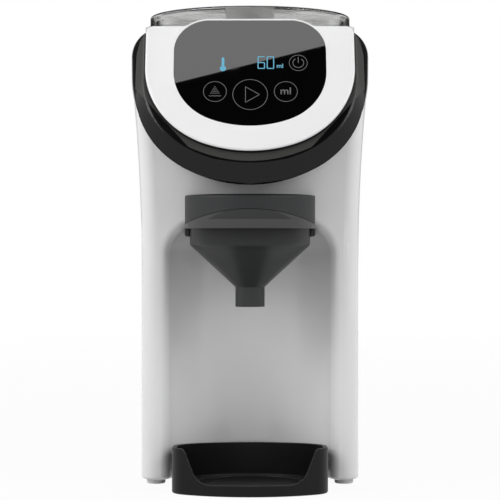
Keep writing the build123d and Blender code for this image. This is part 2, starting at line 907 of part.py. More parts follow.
# ---- Deck and well ----
with BuildPart() as top_deck:
    with BuildSketch(Plane.XY.offset(deck_low_z)) as deck_outline:
        with Locations((0, (deck_front_y + deck_back_y) / 2)):
            Rectangle(2 * deck_half_width, deck_back_y - deck_front_y)
        fillet(deck_outline.vertices().group_by(Axis.Y)[-1], deck_corner_radius)
        with Locations((0, hopper_y)):
            Circle(well_radius, mode=Mode.SUBTRACT)
    extrude(amount=deck_thickness)
save(top_deck, "top_deck")

with BuildPart() as container_well:
    with BuildSketch(Plane.XY.offset(well_low_z)):
        with Locations((0, hopper_y)):
            Circle(well_outer_radius)
    extrude(amount=deck_low_z - well_low_z)
    with BuildSketch(Plane.XY.offset(well_floor_z)):
        with Locations((0, hopper_y)):
            Circle(well_radius)
    extrude(amount=deck_low_z - well_floor_z, mode=Mode.SUBTRACT)
    with Locations((0, outlet_y, well_low_z)):
        Cylinder(chute_bore, 4 * well_wall, mode=Mode.SUBTRACT)
    with Locations((0, pinion_y, well_low_z)):
        Cylinder(pinion_shaft_radius + running_gap, 4 * well_wall, mode=Mode.SUBTRACT)
save(container_well, "container_well")

# ---- Powder container: cup, flange, neck and hinge lugs, then its floor with the skirt round the dosing disc ----
flange_top_z = flange_low_z + flange_thickness
lug_places = [(x, hinge_y, hinge_z) for x in (-(hinge_width - hinge_lug_width) / 2, (hinge_width - hinge_lug_width) / 2)]
with BuildPart() as powder_container:
    with BuildSketch(Plane.XY.offset(container_floor_z)):
        with Locations((0, hopper_y)):
            Circle(container_radius)
            Circle(container_radius - container_wall, mode=Mode.SUBTRACT)
    extrude(amount=flange_low_z - container_floor_z)
    with BuildSketch(Plane.XY.offset(flange_low_z)):
        with Locations((0, hopper_y)):
            Circle(flange_radius)
        with Locations((0, (hopper_y + hinge_y) / 2)):
            Rectangle(hinge_width, hinge_y - hopper_y)
    extrude(amount=flange_thickness)
    with BuildSketch(Plane.XY.offset(flange_top_z)):
        with Locations((0, hopper_y)):
            Circle(neck_radius)
    extrude(amount=neck_top_z - flange_top_z)
    with BuildSketch(Plane.XY.offset(flange_low_z)):
        with Locations((0, hopper_y)):
            Circle(container_radius - container_wall)
    extrude(amount=neck_top_z - flange_low_z, mode=Mode.SUBTRACT)
    with BuildSketch(Plane.XY.offset(flange_top_z)):
        with Locations((0, hopper_y)):
            Circle(neck_radius - container_wall)
    extrude(amount=neck_top_z - flange_top_z, mode=Mode.SUBTRACT)
    with Locations(*lug_places):
        Cylinder(hinge_knuckle_radius, hinge_lug_width, rotation=(0, 90, 0))
    with Locations(*[(x, y, (flange_low_z + z) / 2) for x, y, z in lug_places]):
        Box(hinge_lug_width, 2 * hinge_knuckle_radius, hinge_z - flange_low_z)
    with Locations((0, hinge_y, hinge_z)):
        Cylinder(hinge_pin_radius, hinge_width, rotation=(0, 90, 0), mode=Mode.SUBTRACT)
save(powder_container, "powder_container")

with BuildPart() as container_floor_plate:
    with BuildSketch(Plane.XY.offset(container_floor_z)):
        with Locations((0, hopper_y)):
            Circle(container_radius - container_wall - press_gap)
    extrude(amount=container_floor)
    with BuildSketch(Plane.XY.offset(skirt_low_z)):
        with Locations((0, hopper_y)):
            Circle(skirt_radius)
            Circle(skirt_radius - skirt_wall, mode=Mode.SUBTRACT)
        with Locations((0, pinion_y)):
            Circle(pinion_outer + pinion_clearance, mode=Mode.SUBTRACT)
    extrude(amount=container_floor_z - skirt_low_z)
    with Locations((0, hopper_y, container_floor_z)):
        Cylinder(shaft_radius + running_gap, 4 * container_floor, mode=Mode.SUBTRACT)
    with BuildSketch(Plane.XY.offset(container_floor_z)):
        with Locations((0, hopper_y)):
            with PolarLocations(pocket_circle, 3, start_angle=30, angular_range=120, endpoint=True):
                Circle(pocket_radius)
    extrude(amount=container_floor, mode=Mode.SUBTRACT)
save(container_floor_plate, "container_floor")

with BuildPart() as dosing_base:
    with BuildSketch(Plane.XY.offset(skirt_low_z)):
        with Locations((0, hopper_y)):
            Circle(skirt_radius - skirt_wall - press_gap)
            Circle(shaft_radius + running_gap, mode=Mode.SUBTRACT)
        with Locations((0, outlet_y)):
            Circle(pocket_radius, mode=Mode.SUBTRACT)
        with Locations((0, pinion_y)):
            Circle(pinion_outer + pinion_clearance, mode=Mode.SUBTRACT)
    extrude(amount=dosing_base_thickness)
save(dosing_base, "dosing_base")

# ---- Dosing disc, stirring wheel, pinion and motor ----
with BuildPart() as dosing_disc:
    with BuildSketch(Plane.XY.offset(disc_low_z)):
        with Locations((0, hopper_y)):
            gear_profile(disc_teeth, 90)
            with PolarLocations(pocket_circle, pocket_count, start_angle=90):
                Circle(pocket_radius, mode=Mode.SUBTRACT)
    extrude(amount=disc_top_z - disc_low_z)
    with BuildSketch(Plane.XY.offset(skirt_low_z)):
        with Locations((0, hopper_y)):
            Circle(shaft_radius)
    extrude(amount=container_floor_top_z + end_gap - skirt_low_z)
save(dosing_disc, "dosing_disc")

stirrer_low_z = container_floor_top_z + end_gap
stirrer_reach = container_radius - container_wall - stirrer_clearance
with BuildPart() as stirring_wheel:
    with BuildSketch(Plane.XY.offset(stirrer_low_z)):
        with Locations((0, hopper_y)):
            Circle(stirrer_hub_radius)
            with PolarLocations(stirrer_reach / 2, stirrer_arms, start_angle=45):
                Rectangle(stirrer_reach, stirrer_arm_width)
    extrude(amount=stirrer_arm_thickness)
    with BuildSketch(Plane.XY.offset(stirrer_low_z)):
        with Locations((0, hopper_y)):
            Circle(stirrer_hub_radius)
    extrude(amount=stirrer_hub_height)
    with BuildSketch(Plane.XY.offset(stirrer_low_z)):
        with Locations((0, hopper_y)):
            with PolarLocations(stirrer_reach - stirrer_arm_width, stirrer_arms, start_angle=45):
                Rectangle(stirrer_arm_width, stirrer_arm_width)
    extrude(amount=stirrer_finger_height)
    fillet(stirring_wheel.faces().sort_by(Axis.Z)[-1].edges(), stirrer_hub_radius / 2)
save(stirring_wheel, "stirring_wheel")

with BuildPart() as drive_pinion:
    with BuildSketch(Plane.XY.offset(disc_low_z)):
        with Locations((0, pinion_y)):
            gear_profile(pinion_teeth, 90 + 180 / pinion_teeth)
    extrude(amount=disc_top_z - disc_low_z)
    with BuildSketch(Plane.XY.offset(well_low_z - pinion_shaft_depth)):
        with Locations((0, pinion_y)):
            Circle(pinion_shaft_radius)
    extrude(amount=disc_low_z - well_low_z + pinion_shaft_depth)
save(drive_pinion, "drive_pinion")

with BuildPart() as gear_motor:
    with BuildSketch(Plane.XY.offset(well_low_z)):
        with Locations((0, pinion_y)):
            Circle(motor_radius)
            with GridLocations(2 * motor_radius, 0, 2, 1):
                SlotOverall(2 * motor_radius * 0.6, motor_radius * 0.6)
    extrude(amount=-wall)
    with BuildSketch(Plane.XY.offset(well_low_z - wall)):
        with Locations((0, pinion_y)):
            Circle(motor_radius - wall)
    extrude(amount=-(motor_length - wall))
    with Locations((0, pinion_y, well_low_z)):
        Cylinder(pinion_shaft_radius + running_gap, 2 * (pinion_shaft_depth + end_gap), mode=Mode.SUBTRACT)
save(gear_motor, "gear_motor")

# ---- Powder lid and its hinge pin ----
lid_side = hinge_width / 2 - hinge_lug_width - side_gap
with BuildPart() as powder_lid:
    with BuildSketch(Plane.XY.offset(lid_low_z)):
        with Locations((0, hopper_y)):
            Circle(lid_radius)
    extrude(amount=lid_top_z - lid_low_z)
    fillet(powder_lid.faces().sort_by(Axis.Z)[-1].edges(), lid_edge_fillet)
    with BuildSketch(Plane.XY.offset(lid_low_z)):
        with Locations((0, hopper_y - lid_radius / 2)):
            Rectangle(lid_tab_width, lid_radius + 2 * lid_tab_reach)
    extrude(amount=lid_tab_height)
    with BuildSketch(Plane.XY.offset(lid_low_z)):
        with Locations((0, hopper_y)):
            Circle(lid_radius - lid_wall)
    extrude(amount=lid_top_z - lid_top_thickness - lid_low_z, mode=Mode.SUBTRACT)
    with BuildSketch(Plane.YZ.offset(-lid_side)):
        with BuildLine():
            Line((hinge_y, hinge_z - hinge_knuckle_radius), (hinge_y - hinge_offset - 1, lid_low_z))
            Line((hinge_y - hinge_offset - 1, lid_low_z), (hinge_y - hinge_offset - 1, hinge_z + hinge_knuckle_radius))
            Line((hinge_y - hinge_offset - 1, hinge_z + hinge_knuckle_radius), (hinge_y, hinge_z + hinge_knuckle_radius))
            ThreePointArc((hinge_y, hinge_z + hinge_knuckle_radius), (hinge_y + hinge_knuckle_radius, hinge_z),
                          (hinge_y, hinge_z - hinge_knuckle_radius))
        make_face()
        with Locations((hinge_y, hinge_z)):
            Circle(hinge_pin_radius + hinge_play, mode=Mode.SUBTRACT)
    extrude(amount=2 * lid_side)
    with Locations((-lid_radius, hopper_y, lid_low_z), (lid_radius, hopper_y, lid_low_z)):
        Box(lid_clip_thickness, lid_clip_width, 2 * lid_clip_drop)
save(powder_lid, "powder_lid")

with BuildPart() as lid_hinge_pin:
    with BuildSketch(Plane.YZ.offset(-hinge_width / 2)):
        with Locations((hinge_y, hinge_z)):
            Circle(hinge_pin_radius)
    extrude(amount=hinge_width)
save(lid_hinge_pin, "lid_hinge_pin")

# ---- Chute, hood and nozzle ----
with BuildPart() as powder_chute:
    with BuildSketch(Plane.XY.offset(hood_top_z)):
        with Locations((0, chute_exit_y)):
            Circle(chute_radius)
    with BuildSketch(Plane.XY.offset(well_low_z)):
        with Locations((0, outlet_y)):
            Circle(chute_radius)
    loft(ruled=True)
    with BuildSketch(Plane.XY.offset(hood_top_z)):
        with Locations((0, chute_exit_y)):
            Circle(chute_bore)
    with BuildSketch(Plane.XY.offset(well_low_z)):
        with Locations((0, outlet_y)):
            Circle(chute_bore)
    loft(ruled=True, mode=Mode.SUBTRACT)
save(powder_chute, "powder_chute")

hood_outer = hood_block(0, hood_low_z, hood_top_z)
hood_inner_block = hood_block(hood_wall, hood_low_z, hood_top_z - hood_wall)
with BuildPart() as dispense_hood:
    add(hood_outer)
    fillet(dispense_hood.faces().sort_by(Axis.Z)[-1].edges(), hood_top_fillet)
    add(hood_inner_block, mode=Mode.SUBTRACT)
    with Locations((0, (axis_y + funnel_back_y + slide_gap) / 2, flange_z + funnel_flange / 2)):
        Box(2 * (hood_inner + groove_depth), funnel_back_y + slide_gap - axis_y, funnel_flange + 2 * slide_gap,
            mode=Mode.SUBTRACT)
    with BuildSketch(vertical(axis_y)):
        with BuildLine():
            arch_lines(0)
        make_face()
    extrude(amount=2 * hood_radius, mode=Mode.SUBTRACT)
    with Locations((0, chute_exit_y, hood_top_z)):
        Cylinder(chute_bore, 4 * hood_wall, mode=Mode.SUBTRACT)
    with Locations((nozzle_x, nozzle_y, hood_top_z)):
        Cylinder(nozzle_radius + press_gap, 4 * hood_wall, mode=Mode.SUBTRACT)
save(dispense_hood, "dispense_hood")

with BuildPart() as water_nozzle:
    with BuildSketch(Plane.XY.offset(nozzle_low_z)):
        with Locations((nozzle_x, nozzle_y)):
            Circle(nozzle_radius)
    extrude(amount=nozzle_hose_z + nozzle_radius - nozzle_low_z)
    with BuildSketch(Plane.XY.offset(hood_top_z)):
        with Locations((nozzle_x, nozzle_y)):
            Circle(nozzle_flange_radius)
    extrude(amount=nozzle_flange)
    with BuildSketch(vertical(nozzle_y)):
        with Locations((nozzle_x, nozzle_hose_z)):
            Circle(nipple_radius)
    extrude(amount=-(nozzle_radius + hose_start + nipple_length))
    with Locations((nozzle_x, nozzle_y, nozzle_low_z)):
        Cylinder(nozzle_bore, nozzle_hose_z - nozzle_low_z, align=(Align.CENTER, Align.CENTER, Align.MIN),
                 mode=Mode.SUBTRACT)
    with BuildSketch(vertical(nozzle_y)):
        with Locations((nozzle_x, nozzle_hose_z)):
            Circle(nozzle_bore)
    extrude(amount=-(nozzle_radius + hose_start + nipple_length), mode=Mode.SUBTRACT)
save(water_nozzle, "water_nozzle")

# ---- Funnel: bowl and spout, flange in the hood's grooves and front band under the arch ----
band_radius = hood_radius - band_inset
with BuildPart() as funnel_band:
    with BuildSketch(Plane.XY.offset(flange_z)):
        with Locations((0, axis_y)):
            Circle(band_radius)
            Circle(band_radius - funnel_wall, mode=Mode.SUBTRACT)
        with Locations((0, axis_y)):
            Rectangle(2 * hood_radius, hood_radius, align=(Align.CENTER, Align.MIN), mode=Mode.SUBTRACT)
    extrude(amount=arch_mid_z - flange_z)
    with BuildSketch(vertical(axis_y)):
        with BuildLine():
            arch_lines(slide_gap)
        make_face()
    extrude(amount=2 * hood_radius, mode=Mode.INTERSECT)

with BuildPart() as funnel:
    with BuildSketch(vertical(axis_y)) as funnel_section:
        with BuildLine():
            bowl_inner = bowl_radius - funnel_wall
            Polyline((spout_bore, spout_low_z), (spout_radius, spout_low_z), (spout_radius, spout_top_z),
                     (bowl_radius, bowl_low_z), (bowl_radius, flange_z + funnel_flange),
                     (bowl_inner, flange_z + funnel_flange), (bowl_inner, bowl_low_z + funnel_wall / 2),
                     (spout_bore, spout_top_z + funnel_wall / 2), close=True)
        make_face()
        fillet([point for point in funnel_section.vertices() if bowl_low_z - 1 < point.Y < bowl_low_z + funnel_wall],
               funnel_fillet)
    revolve(axis=Axis((0, axis_y, 0), (0, 0, 1)))
    with BuildSketch(Plane.XY.offset(flange_z)):
        with Locations((0, axis_y)):
            Circle(band_radius - funnel_wall / 2)
        with Locations((0, (axis_y + funnel_back_y) / 2)):
            Rectangle(2 * (hood_inner + groove_depth - slide_gap), funnel_back_y - axis_y)
        with Locations((0, axis_y)):
            Circle(bowl_inner, mode=Mode.SUBTRACT)
    extrude(amount=funnel_flange)
    add(funnel_band.part)
save(funnel, "funnel")

# ---- Drip tray ----
tray_outer = tray_block(0, 0, tray_height)
tray_inner = tray_block(tray_wall, tray_floor, tray_height)
with BuildPart() as drip_tray:
    add(tray_outer)
    fillet(drip_tray.faces().sort_by(Axis.Z)[0].edges(), tray_edge_fillet)
    add(tray_inner, mode=Mode.SUBTRACT)
    with BuildSketch(vertical(dip_back_y)) as dip:
        Polygon((-dip_half_low, dip_low_z), (dip_half_low, dip_low_z), (dip_half_high, tray_height),
                (tray_half_width, tray_height), (tray_half_width, 2 * tray_height),
                (-tray_half_width, 2 * tray_height), (-tray_half_width, tray_height), (-dip_half_high, tray_height),
                align=None)
        fillet(dip.vertices().group_by(Axis.Y)[0], dip_low_fillet)
        fillet([point for point in dip.vertices() if abs(abs(point.X) - dip_half_high) < 0.01], dip_rim_fillet)
    extrude(amount=dip_back_y - tray_front_y + tray_wall, mode=Mode.SUBTRACT)
    with BuildSketch(Plane.YZ):
        Polygon((tray_front_y, tray_height), (axis_y + tray_half_width, tray_back_height),
                (axis_y + tray_half_width, 2 * tray_height), (tray_front_y, 2 * tray_height), align=None)
    extrude(amount=tray_half_width, both=True, mode=Mode.SUBTRACT)
    with BuildSketch(Plane.XY.offset(tray_floor)):
        with Locations((0, axis_y)):
            for step in range(rib_count):
                radius = rib_first_radius + step * rib_spacing
                Circle(radius + rib_width)
                Circle(radius, mode=Mode.SUBTRACT)
    extrude(amount=rib_height)
    tongue_start = axis_y + tray_half_width - tray_wall
    tongue_end = axis_y + bay_radius + tongue_reach
    with Locations((0, tongue_start, tongue_low_z)):
        Box(2 * tongue_half_width, tongue_end - tongue_start, tongue_height, align=(Align.CENTER, Align.MIN, Align.MIN))
save(drip_tray, "drip_tray")

# ---- Water tank, lid and hinge pin ----
tank_outer = tank_block(0, tank_low_z, tank_top_z)
tank_inner = tank_block(tank_wall, tank_floor_z, tank_top_z)
tank_lug_x = (tank_hinge_width - tank_lug_width) / 2
float_rod_top = tank_floor_z + float_height + float_travel + 4 * float_gap
with BuildPart() as water_tank:
    add(tank_outer)
    add(tank_inner, mode=Mode.SUBTRACT)
    with BuildSketch(Plane.XY.offset(boss_low_z)):
        with Locations((0, tank_mid_y)):
            Circle(boss_radius)
    extrude(amount=boss_depth)
    with BuildSketch(Plane.XY.offset(valve_seat_z)):
        with Locations((0, tank_mid_y)):
            Circle(valve_chamber_radius)
    extrude(amount=boss_depth + tank_wall, mode=Mode.SUBTRACT)
    with Locations((0, tank_mid_y, boss_low_z)):
        Cylinder(valve_hole_radius, 4 * boss_floor, mode=Mode.SUBTRACT)
    with BuildSketch(Plane.XY.offset(tank_floor_z)):
        with Locations((float_x, tank_mid_y)):
            Circle(float_rod_radius)
    extrude(amount=float_rod_top - tank_floor_z)
    with Locations((-tank_lug_x, tank_hinge_y, tank_hinge_z), (tank_lug_x, tank_hinge_y, tank_hinge_z)):
        Cylinder(tank_knuckle_radius, tank_lug_width, rotation=(0, 90, 0))
    with BuildSketch(Plane.YZ.offset(-tank_lug_x - tank_lug_width / 2)):
        with BuildLine():
            Polyline((tank_rear_y - tank_wall / 2, tank_top_z), (tank_rear_y, tank_top_z),
                     (tank_hinge_y - tank_knuckle_radius, tank_hinge_z),
                     (tank_hinge_y + tank_knuckle_radius, tank_hinge_z),
                     (tank_hinge_y + tank_knuckle_radius, tank_top_z - tank_knuckle_radius),
                     (tank_rear_y - tank_wall / 2, tank_top_z - 4 * tank_knuckle_radius), close=True)
        make_face()
    extrude(amount=tank_hinge_width)
    with Locations((0, tank_hinge_y, tank_hinge_z)):
        Box(tank_hinge_width - 2 * tank_lug_width, 3 * tank_knuckle_radius, 2 * (tank_hinge_z - tank_top_z) + 1,
            mode=Mode.SUBTRACT)
        Cylinder(tank_pin_radius, tank_hinge_width, rotation=(0, 90, 0), mode=Mode.SUBTRACT)
save(water_tank, "water_tank")

tank_lid_lip_block = tank_block(tank_wall + tank_lid_lip_gap, tank_lid_low_z - tank_lid_lip, tank_lid_low_z)
tank_lid_lip_inner = tank_block(tank_wall + tank_lid_lip_gap + tank_lid_wall, tank_lid_low_z - tank_lid_lip,
                                tank_lid_low_z)
tank_lid_cap = tank_block(0, tank_lid_low_z, tank_lid_low_z + tank_lid_thickness)
tank_lid_hollow = tank_block(tank_wall + tank_lid_lip_gap + tank_lid_wall, tank_lid_low_z,
                             tank_lid_low_z + tank_lid_thickness - tank_lid_wall)
tank_lid_side = tank_hinge_width / 2 - tank_lug_width - side_gap
with BuildPart() as tank_lid:
    add(tank_lid_cap)
    fillet(tank_lid.faces().sort_by(Axis.Z)[-1].edges(), lid_edge_fillet)
    with Locations((0, tank_hinge_y, tank_hinge_z)):
        Box(tank_hinge_width + 2 * side_gap, 2 * (tank_knuckle_radius + side_gap) + 2 * side_gap,
            3 * tank_lid_thickness, mode=Mode.SUBTRACT)
    add(tank_lid_hollow, mode=Mode.SUBTRACT)
    add(tank_lid_lip_block)
    add(tank_lid_lip_inner, mode=Mode.SUBTRACT)
    with BuildSketch(Plane.YZ.offset(-tank_lid_side)):
        with Locations((tank_hinge_y, tank_hinge_z)):
            Circle(tank_knuckle_radius)
            Rectangle(3 * tank_knuckle_radius, tank_knuckle_radius, align=(Align.MAX, Align.MIN))
            Circle(tank_pin_radius + hinge_play, mode=Mode.SUBTRACT)
    extrude(amount=2 * tank_lid_side)
save(tank_lid, "tank_lid")

with BuildPart() as tank_lid_pin:
    with BuildSketch(Plane.YZ.offset(-tank_hinge_width / 2)):
        with Locations((tank_hinge_y, tank_hinge_z)):
            Circle(tank_pin_radius)
    extrude(amount=tank_hinge_width)
save(tank_lid_pin, "tank_lid_pin")

# ---- Tank valve, spring, cage and seal ----
valve_head_low_z = valve_seat_z + valve_rest
valve_head_top_z = valve_head_low_z + valve_head_thickness
cage_low_z = tank_floor_z
with BuildPart() as tank_valve:
    with BuildSketch(Plane.XY.offset(valve_head_low_z)):
        with Locations((0, tank_mid_y)):
            Circle(valve_head_radius)
    extrude(amount=valve_head_thickness)
    with BuildSketch(Plane.XY.offset(boss_low_z - valve_stem_reach)):
        with Locations((0, tank_mid_y)):
            Circle(valve_stem_radius)
    extrude(amount=cage_low_z - valve_travel - end_gap - boss_low_z + valve_stem_reach)
save(tank_valve, "tank_valve")

with BuildPart() as valve_cage:
    with BuildSketch(Plane.XY.offset(cage_low_z)):
        with Locations((0, tank_mid_y)):
            Circle(boss_radius)
            with PolarLocations(valve_chamber_radius - valve_stem_radius, 6):
                Circle(valve_stem_radius * 0.8, mode=Mode.SUBTRACT)
    extrude(amount=cage_thickness)
save(valve_cage, "valve_cage")

spring_low_z = valve_head_top_z + spring_wire
spring_height = cage_low_z - spring_wire - spring_low_z
with BuildPart() as valve_spring:
    with BuildLine() as coil:
        Helix(spring_height / spring_turns, spring_height, spring_radius, center=(0, tank_mid_y, spring_low_z))
    with BuildSketch(Plane(origin=coil.wire() @ 0, z_dir=coil.wire() % 0)):
        Circle(spring_wire)
    sweep()
save(valve_spring, "valve_spring")

with BuildPart() as tank_seal:
    with BuildSketch(vertical(tank_mid_y)):
        with Locations((boss_radius - 2 * seal_wire, boss_low_z - seal_wire)):
            Circle(seal_wire)
    revolve(axis=Axis((0, tank_mid_y, 0), (0, 0, 1)))
save(tank_seal, "tank_seal")

# ---- Level float ----
with BuildPart() as level_float:
    with BuildSketch(Plane.XY.offset(tank_floor_z + float_gap)):
        with Locations((float_x, tank_mid_y)):
            Circle(float_radius)
            Circle(float_rod_radius + running_gap, mode=Mode.SUBTRACT)
    extrude(amount=float_height)
    fillet(level_float.edges().filter_by(GeomType.CIRCLE).group_by(SortBy.RADIUS)[-1], float_height / 8)
save(level_float, "level_float")

with BuildPart() as float_stop_cap:
    with BuildSketch(Plane.XY.offset(float_rod_top)):
        with Locations((float_x, tank_mid_y)):
            Circle(float_stop_radius)
    extrude(amount=float_stop)
save(float_stop_cap, "float_stop")

# ---- Tank seat in the base, with its valve post and hose nipple ----
seat_low_z = base_top_z - seat_depth - seat_floor
with BuildPart() as tank_seat:
    with BuildSketch(Plane.XY.offset(seat_low_z)):
        with Locations((0, tank_mid_y)):
            Circle(seat_radius)
    extrude(amount=seat_depth + seat_floor)
    with BuildSketch(Plane.XY.offset(seat_low_z + seat_floor)):
        with Locations((0, tank_mid_y)):
            Circle(boss_radius + seat_gap)
    extrude(amount=seat_depth, mode=Mode.SUBTRACT)
    with BuildSketch(Plane.XY.offset(seat_low_z + seat_floor)):
        with Locations((0, tank_mid_y)):
            Circle(post_radius)
    extrude(amount=boss_low_z - valve_stem_reach - end_gap - seat_low_z - seat_floor)
    with BuildSketch(Plane.YZ.offset(boss_radius + seat_gap + seat_floor / 2)):
        with Locations((tank_mid_y, hose_z)):
            Circle(nipple_radius)
    extrude(amount=seat_radius - boss_radius - seat_gap - seat_floor / 2 + nipple_length)
    with BuildSketch(Plane.YZ.offset(boss_radius)):
        with Locations((tank_mid_y, hose_z)):
            Circle(nipple_radius / 2)
    extrude(amount=seat_radius - boss_radius + nipple_length, mode=Mode.SUBTRACT)
save(tank_seat, "tank_seat")

# ---- Pump, heater, thermostat and hoses ----
pump_top_z = pump_low_z + pump_height
with BuildPart() as water_pump:
    with BuildSketch(Plane.XY.offset(pump_low_z)):
        with Locations((pump_x, pump_y)):
            Circle(pump_radius)
    extrude(amount=pump_height)
    chamfer(water_pump.faces().sort_by(Axis.Z)[-1].edges(), nipple_radius)
    with BuildSketch(Plane.XY.offset(pump_low_z + pump_height * 0.6)):
        with Locations((pump_x, pump_y)):
            Circle(pump_radius + nipple_radius)
    extrude(amount=pump_height / 8)
    with BuildSketch(Plane.XY.offset(pump_top_z)):
        with Locations((pump_x, pump_y)):
            Circle(nipple_radius)
    extrude(amount=nipple_length)
    with BuildSketch(vertical(pump_y + pump_radius - nipple_radius)):
        with Locations((pump_x, hose_z)):
            Circle(nipple_radius)
    extrude(amount=-(nipple_length + nipple_radius))
save(water_pump, "water_pump")

heater_top_z = heater_low_z + heater_height
with BuildPart() as water_heater:
    with BuildSketch(Plane.XY.offset(heater_low_z)):
        with Locations((heater_x, pump_y)):
            RectangleRounded(heater_width, heater_depth, 2 * heater_fin_depth)
    extrude(amount=heater_height)
    with Locations((heater_x, pump_y - heater_depth / 2, heater_low_z + heater_height / 4)):
        with GridLocations(heater_width / heater_fins, 0, heater_fins - 1, 1):
            Box(2 * heater_fin_depth, 2 * heater_fin_depth, heater_height / 3, mode=Mode.SUBTRACT)
    with BuildSketch(Plane.XY.offset(heater_top_z)):
        with Locations((nozzle_x, pump_y)):
            Circle(nipple_radius)
    extrude(amount=nipple_length)
    with BuildSketch(Plane.YZ.offset(heater_side_x)):
        with Locations((pump_y, heater_inlet_z)):
            Circle(nipple_radius)
    extrude(amount=nipple_length)
save(water_heater, "water_heater")

with BuildPart() as thermostat:
    with BuildSketch(vertical(pump_y - heater_depth / 2)):
        with Locations((heater_x, thermostat_z)):
            Circle(thermostat_radius)
    extrude(amount=thermostat_thickness)
    with BuildSketch(vertical(pump_y - heater_depth / 2 - thermostat_thickness)):
        with Locations((heater_x, thermostat_z)):
            with GridLocations(thermostat_radius, 0, 2, 1):
                Rectangle(pin_thickness, 2 * pin_width)
    extrude(amount=pin_length / 2)
save(thermostat, "thermostat")

with BuildPart() as heater_bracket:
    leg_height = heater_low_z - plate_top_z
    with BuildSketch(vertical(pump_y - bracket_depth / 2)):
        with Locations((heater_x, heater_low_z)):
            Rectangle(heater_width, bracket_sheet, align=(Align.CENTER, Align.MAX))
        with Locations((heater_x - heater_width / 2, plate_top_z)):
            Rectangle(bracket_sheet, leg_height, align=(Align.MIN, Align.MIN))
            Rectangle(4 * bracket_sheet, bracket_sheet, align=(Align.MIN, Align.MIN))
        with Locations((heater_side_x, plate_top_z)):
            Rectangle(bracket_sheet, leg_height, align=(Align.MAX, Align.MIN))
            Rectangle(4 * bracket_sheet, bracket_sheet, align=(Align.MAX, Align.MIN))
    extrude(amount=-bracket_depth)
save(heater_bracket, "heater_bracket")

hose_tank_to_pump = hose([
    (seat_radius + hose_start, tank_mid_y, hose_z),
    (pump_x, tank_mid_y, hose_z),
    (pump_x, pump_y + pump_radius + hose_start, hose_z),
])
save(hose_tank_to_pump, "hose_tank_to_pump")

hose_pump_to_heater = hose([
    (pump_x, pump_y, pump_top_z + hose_start),
    (pump_x, pump_y, heater_inlet_z),
    (heater_side_x + hose_start, pump_y, heater_inlet_z),
])
save(hose_pump_to_heater, "hose_pump_to_heater")

hose_heater_to_nozzle = hose([
    (nozzle_x, pump_y, heater_top_z + hose_start),
    (nozzle_x, pump_y, nozzle_hose_z),
    (nozzle_x, nozzle_y + nozzle_radius + hose_start, nozzle_hose_z),
])
save(hose_heater_to_nozzle, "hose_heater_to_nozzle")

# ---- Main board on its standoffs ----
board_back_y = back_y - wall - standoff_length
board_mid_z = board_low_z + board_height / 2
with BuildPart() as main_board:
    with BuildSketch(vertical(board_back_y)):
        with Locations((0, board_mid_z)):
            Rectangle(board_width, board_height)
    extrude(amount=board_thickness)
    with BuildSketch(vertical(board_back_y - board_thickness)):
        with Locations((-board_width / 4, board_mid_z + board_height / 4)):
            Rectangle(4 * chip_height, 3 * chip_height)
        with Locations((board_width / 4, board_mid_z - board_height / 4)):
            Rectangle(3 * chip_height, 2 * chip_height)
        with Locations((board_width / 4, board_mid_z + board_height / 4)):
            with GridLocations(1.5 * chip_height, 0, 3, 1):
                Circle(chip_height / 2)
    extrude(amount=chip_height)
save(main_board, "main_board")

with BuildPart() as board_standoffs:
    with BuildSketch(vertical(board_back_y)):
        with Locations((0, board_mid_z)):
            with GridLocations(board_width - 2 * standoff_inset, board_height - 2 * standoff_inset, 2, 2):
                Circle(standoff_radius)
    extrude(amount=-standoff_length)
save(board_standoffs, "board_standoffs")

# ---- Power inlet in the rear of the base ----
with BuildPart() as power_inlet:
    with Locations((inlet_x, rear_y, inlet_mid_z)):
        Box(inlet_width, inlet_depth, inlet_height, align=(Align.CENTER, Align.MAX, Align.CENTER))
    fillet(power_inlet.edges().filter_by(Axis.Y), inlet_wall)
    with Locations((inlet_x, rear_y, inlet_mid_z)):
        Box(inlet_width - 2 * inlet_wall, inlet_depth - inlet_wall, inlet_height - 2 * inlet_wall,
            align=(Align.CENTER, Align.MAX, Align.CENTER), mode=Mode.SUBTRACT)
    with Locations((inlet_x, rear_y - wall - shell_gap, inlet_mid_z)):
        Box(inlet_width + 4 * inlet_flange, inlet_flange, inlet_height + 2 * inlet_flange,
            align=(Align.CENTER, Align.MAX, Align.CENTER))
        Box(inlet_width - 2 * inlet_wall, inlet_flange, inlet_height - 2 * inlet_wall,
            align=(Align.CENTER, Align.MAX, Align.CENTER), mode=Mode.SUBTRACT)
save(power_inlet, "power_inlet")

with BuildPart() as inlet_pins:
    with BuildSketch(vertical(rear_y - inlet_depth + inlet_wall)):
        with Locations((inlet_x, inlet_mid_z)):
            with GridLocations(pin_spacing, 0, 2, 1):
                Rectangle(pin_thickness, pin_width)
    extrude(amount=-pin_length)
save(inlet_pins, "inlet_pins")
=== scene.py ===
import json
import math

import bmesh
import bpy
from mathutils import Matrix, Vector


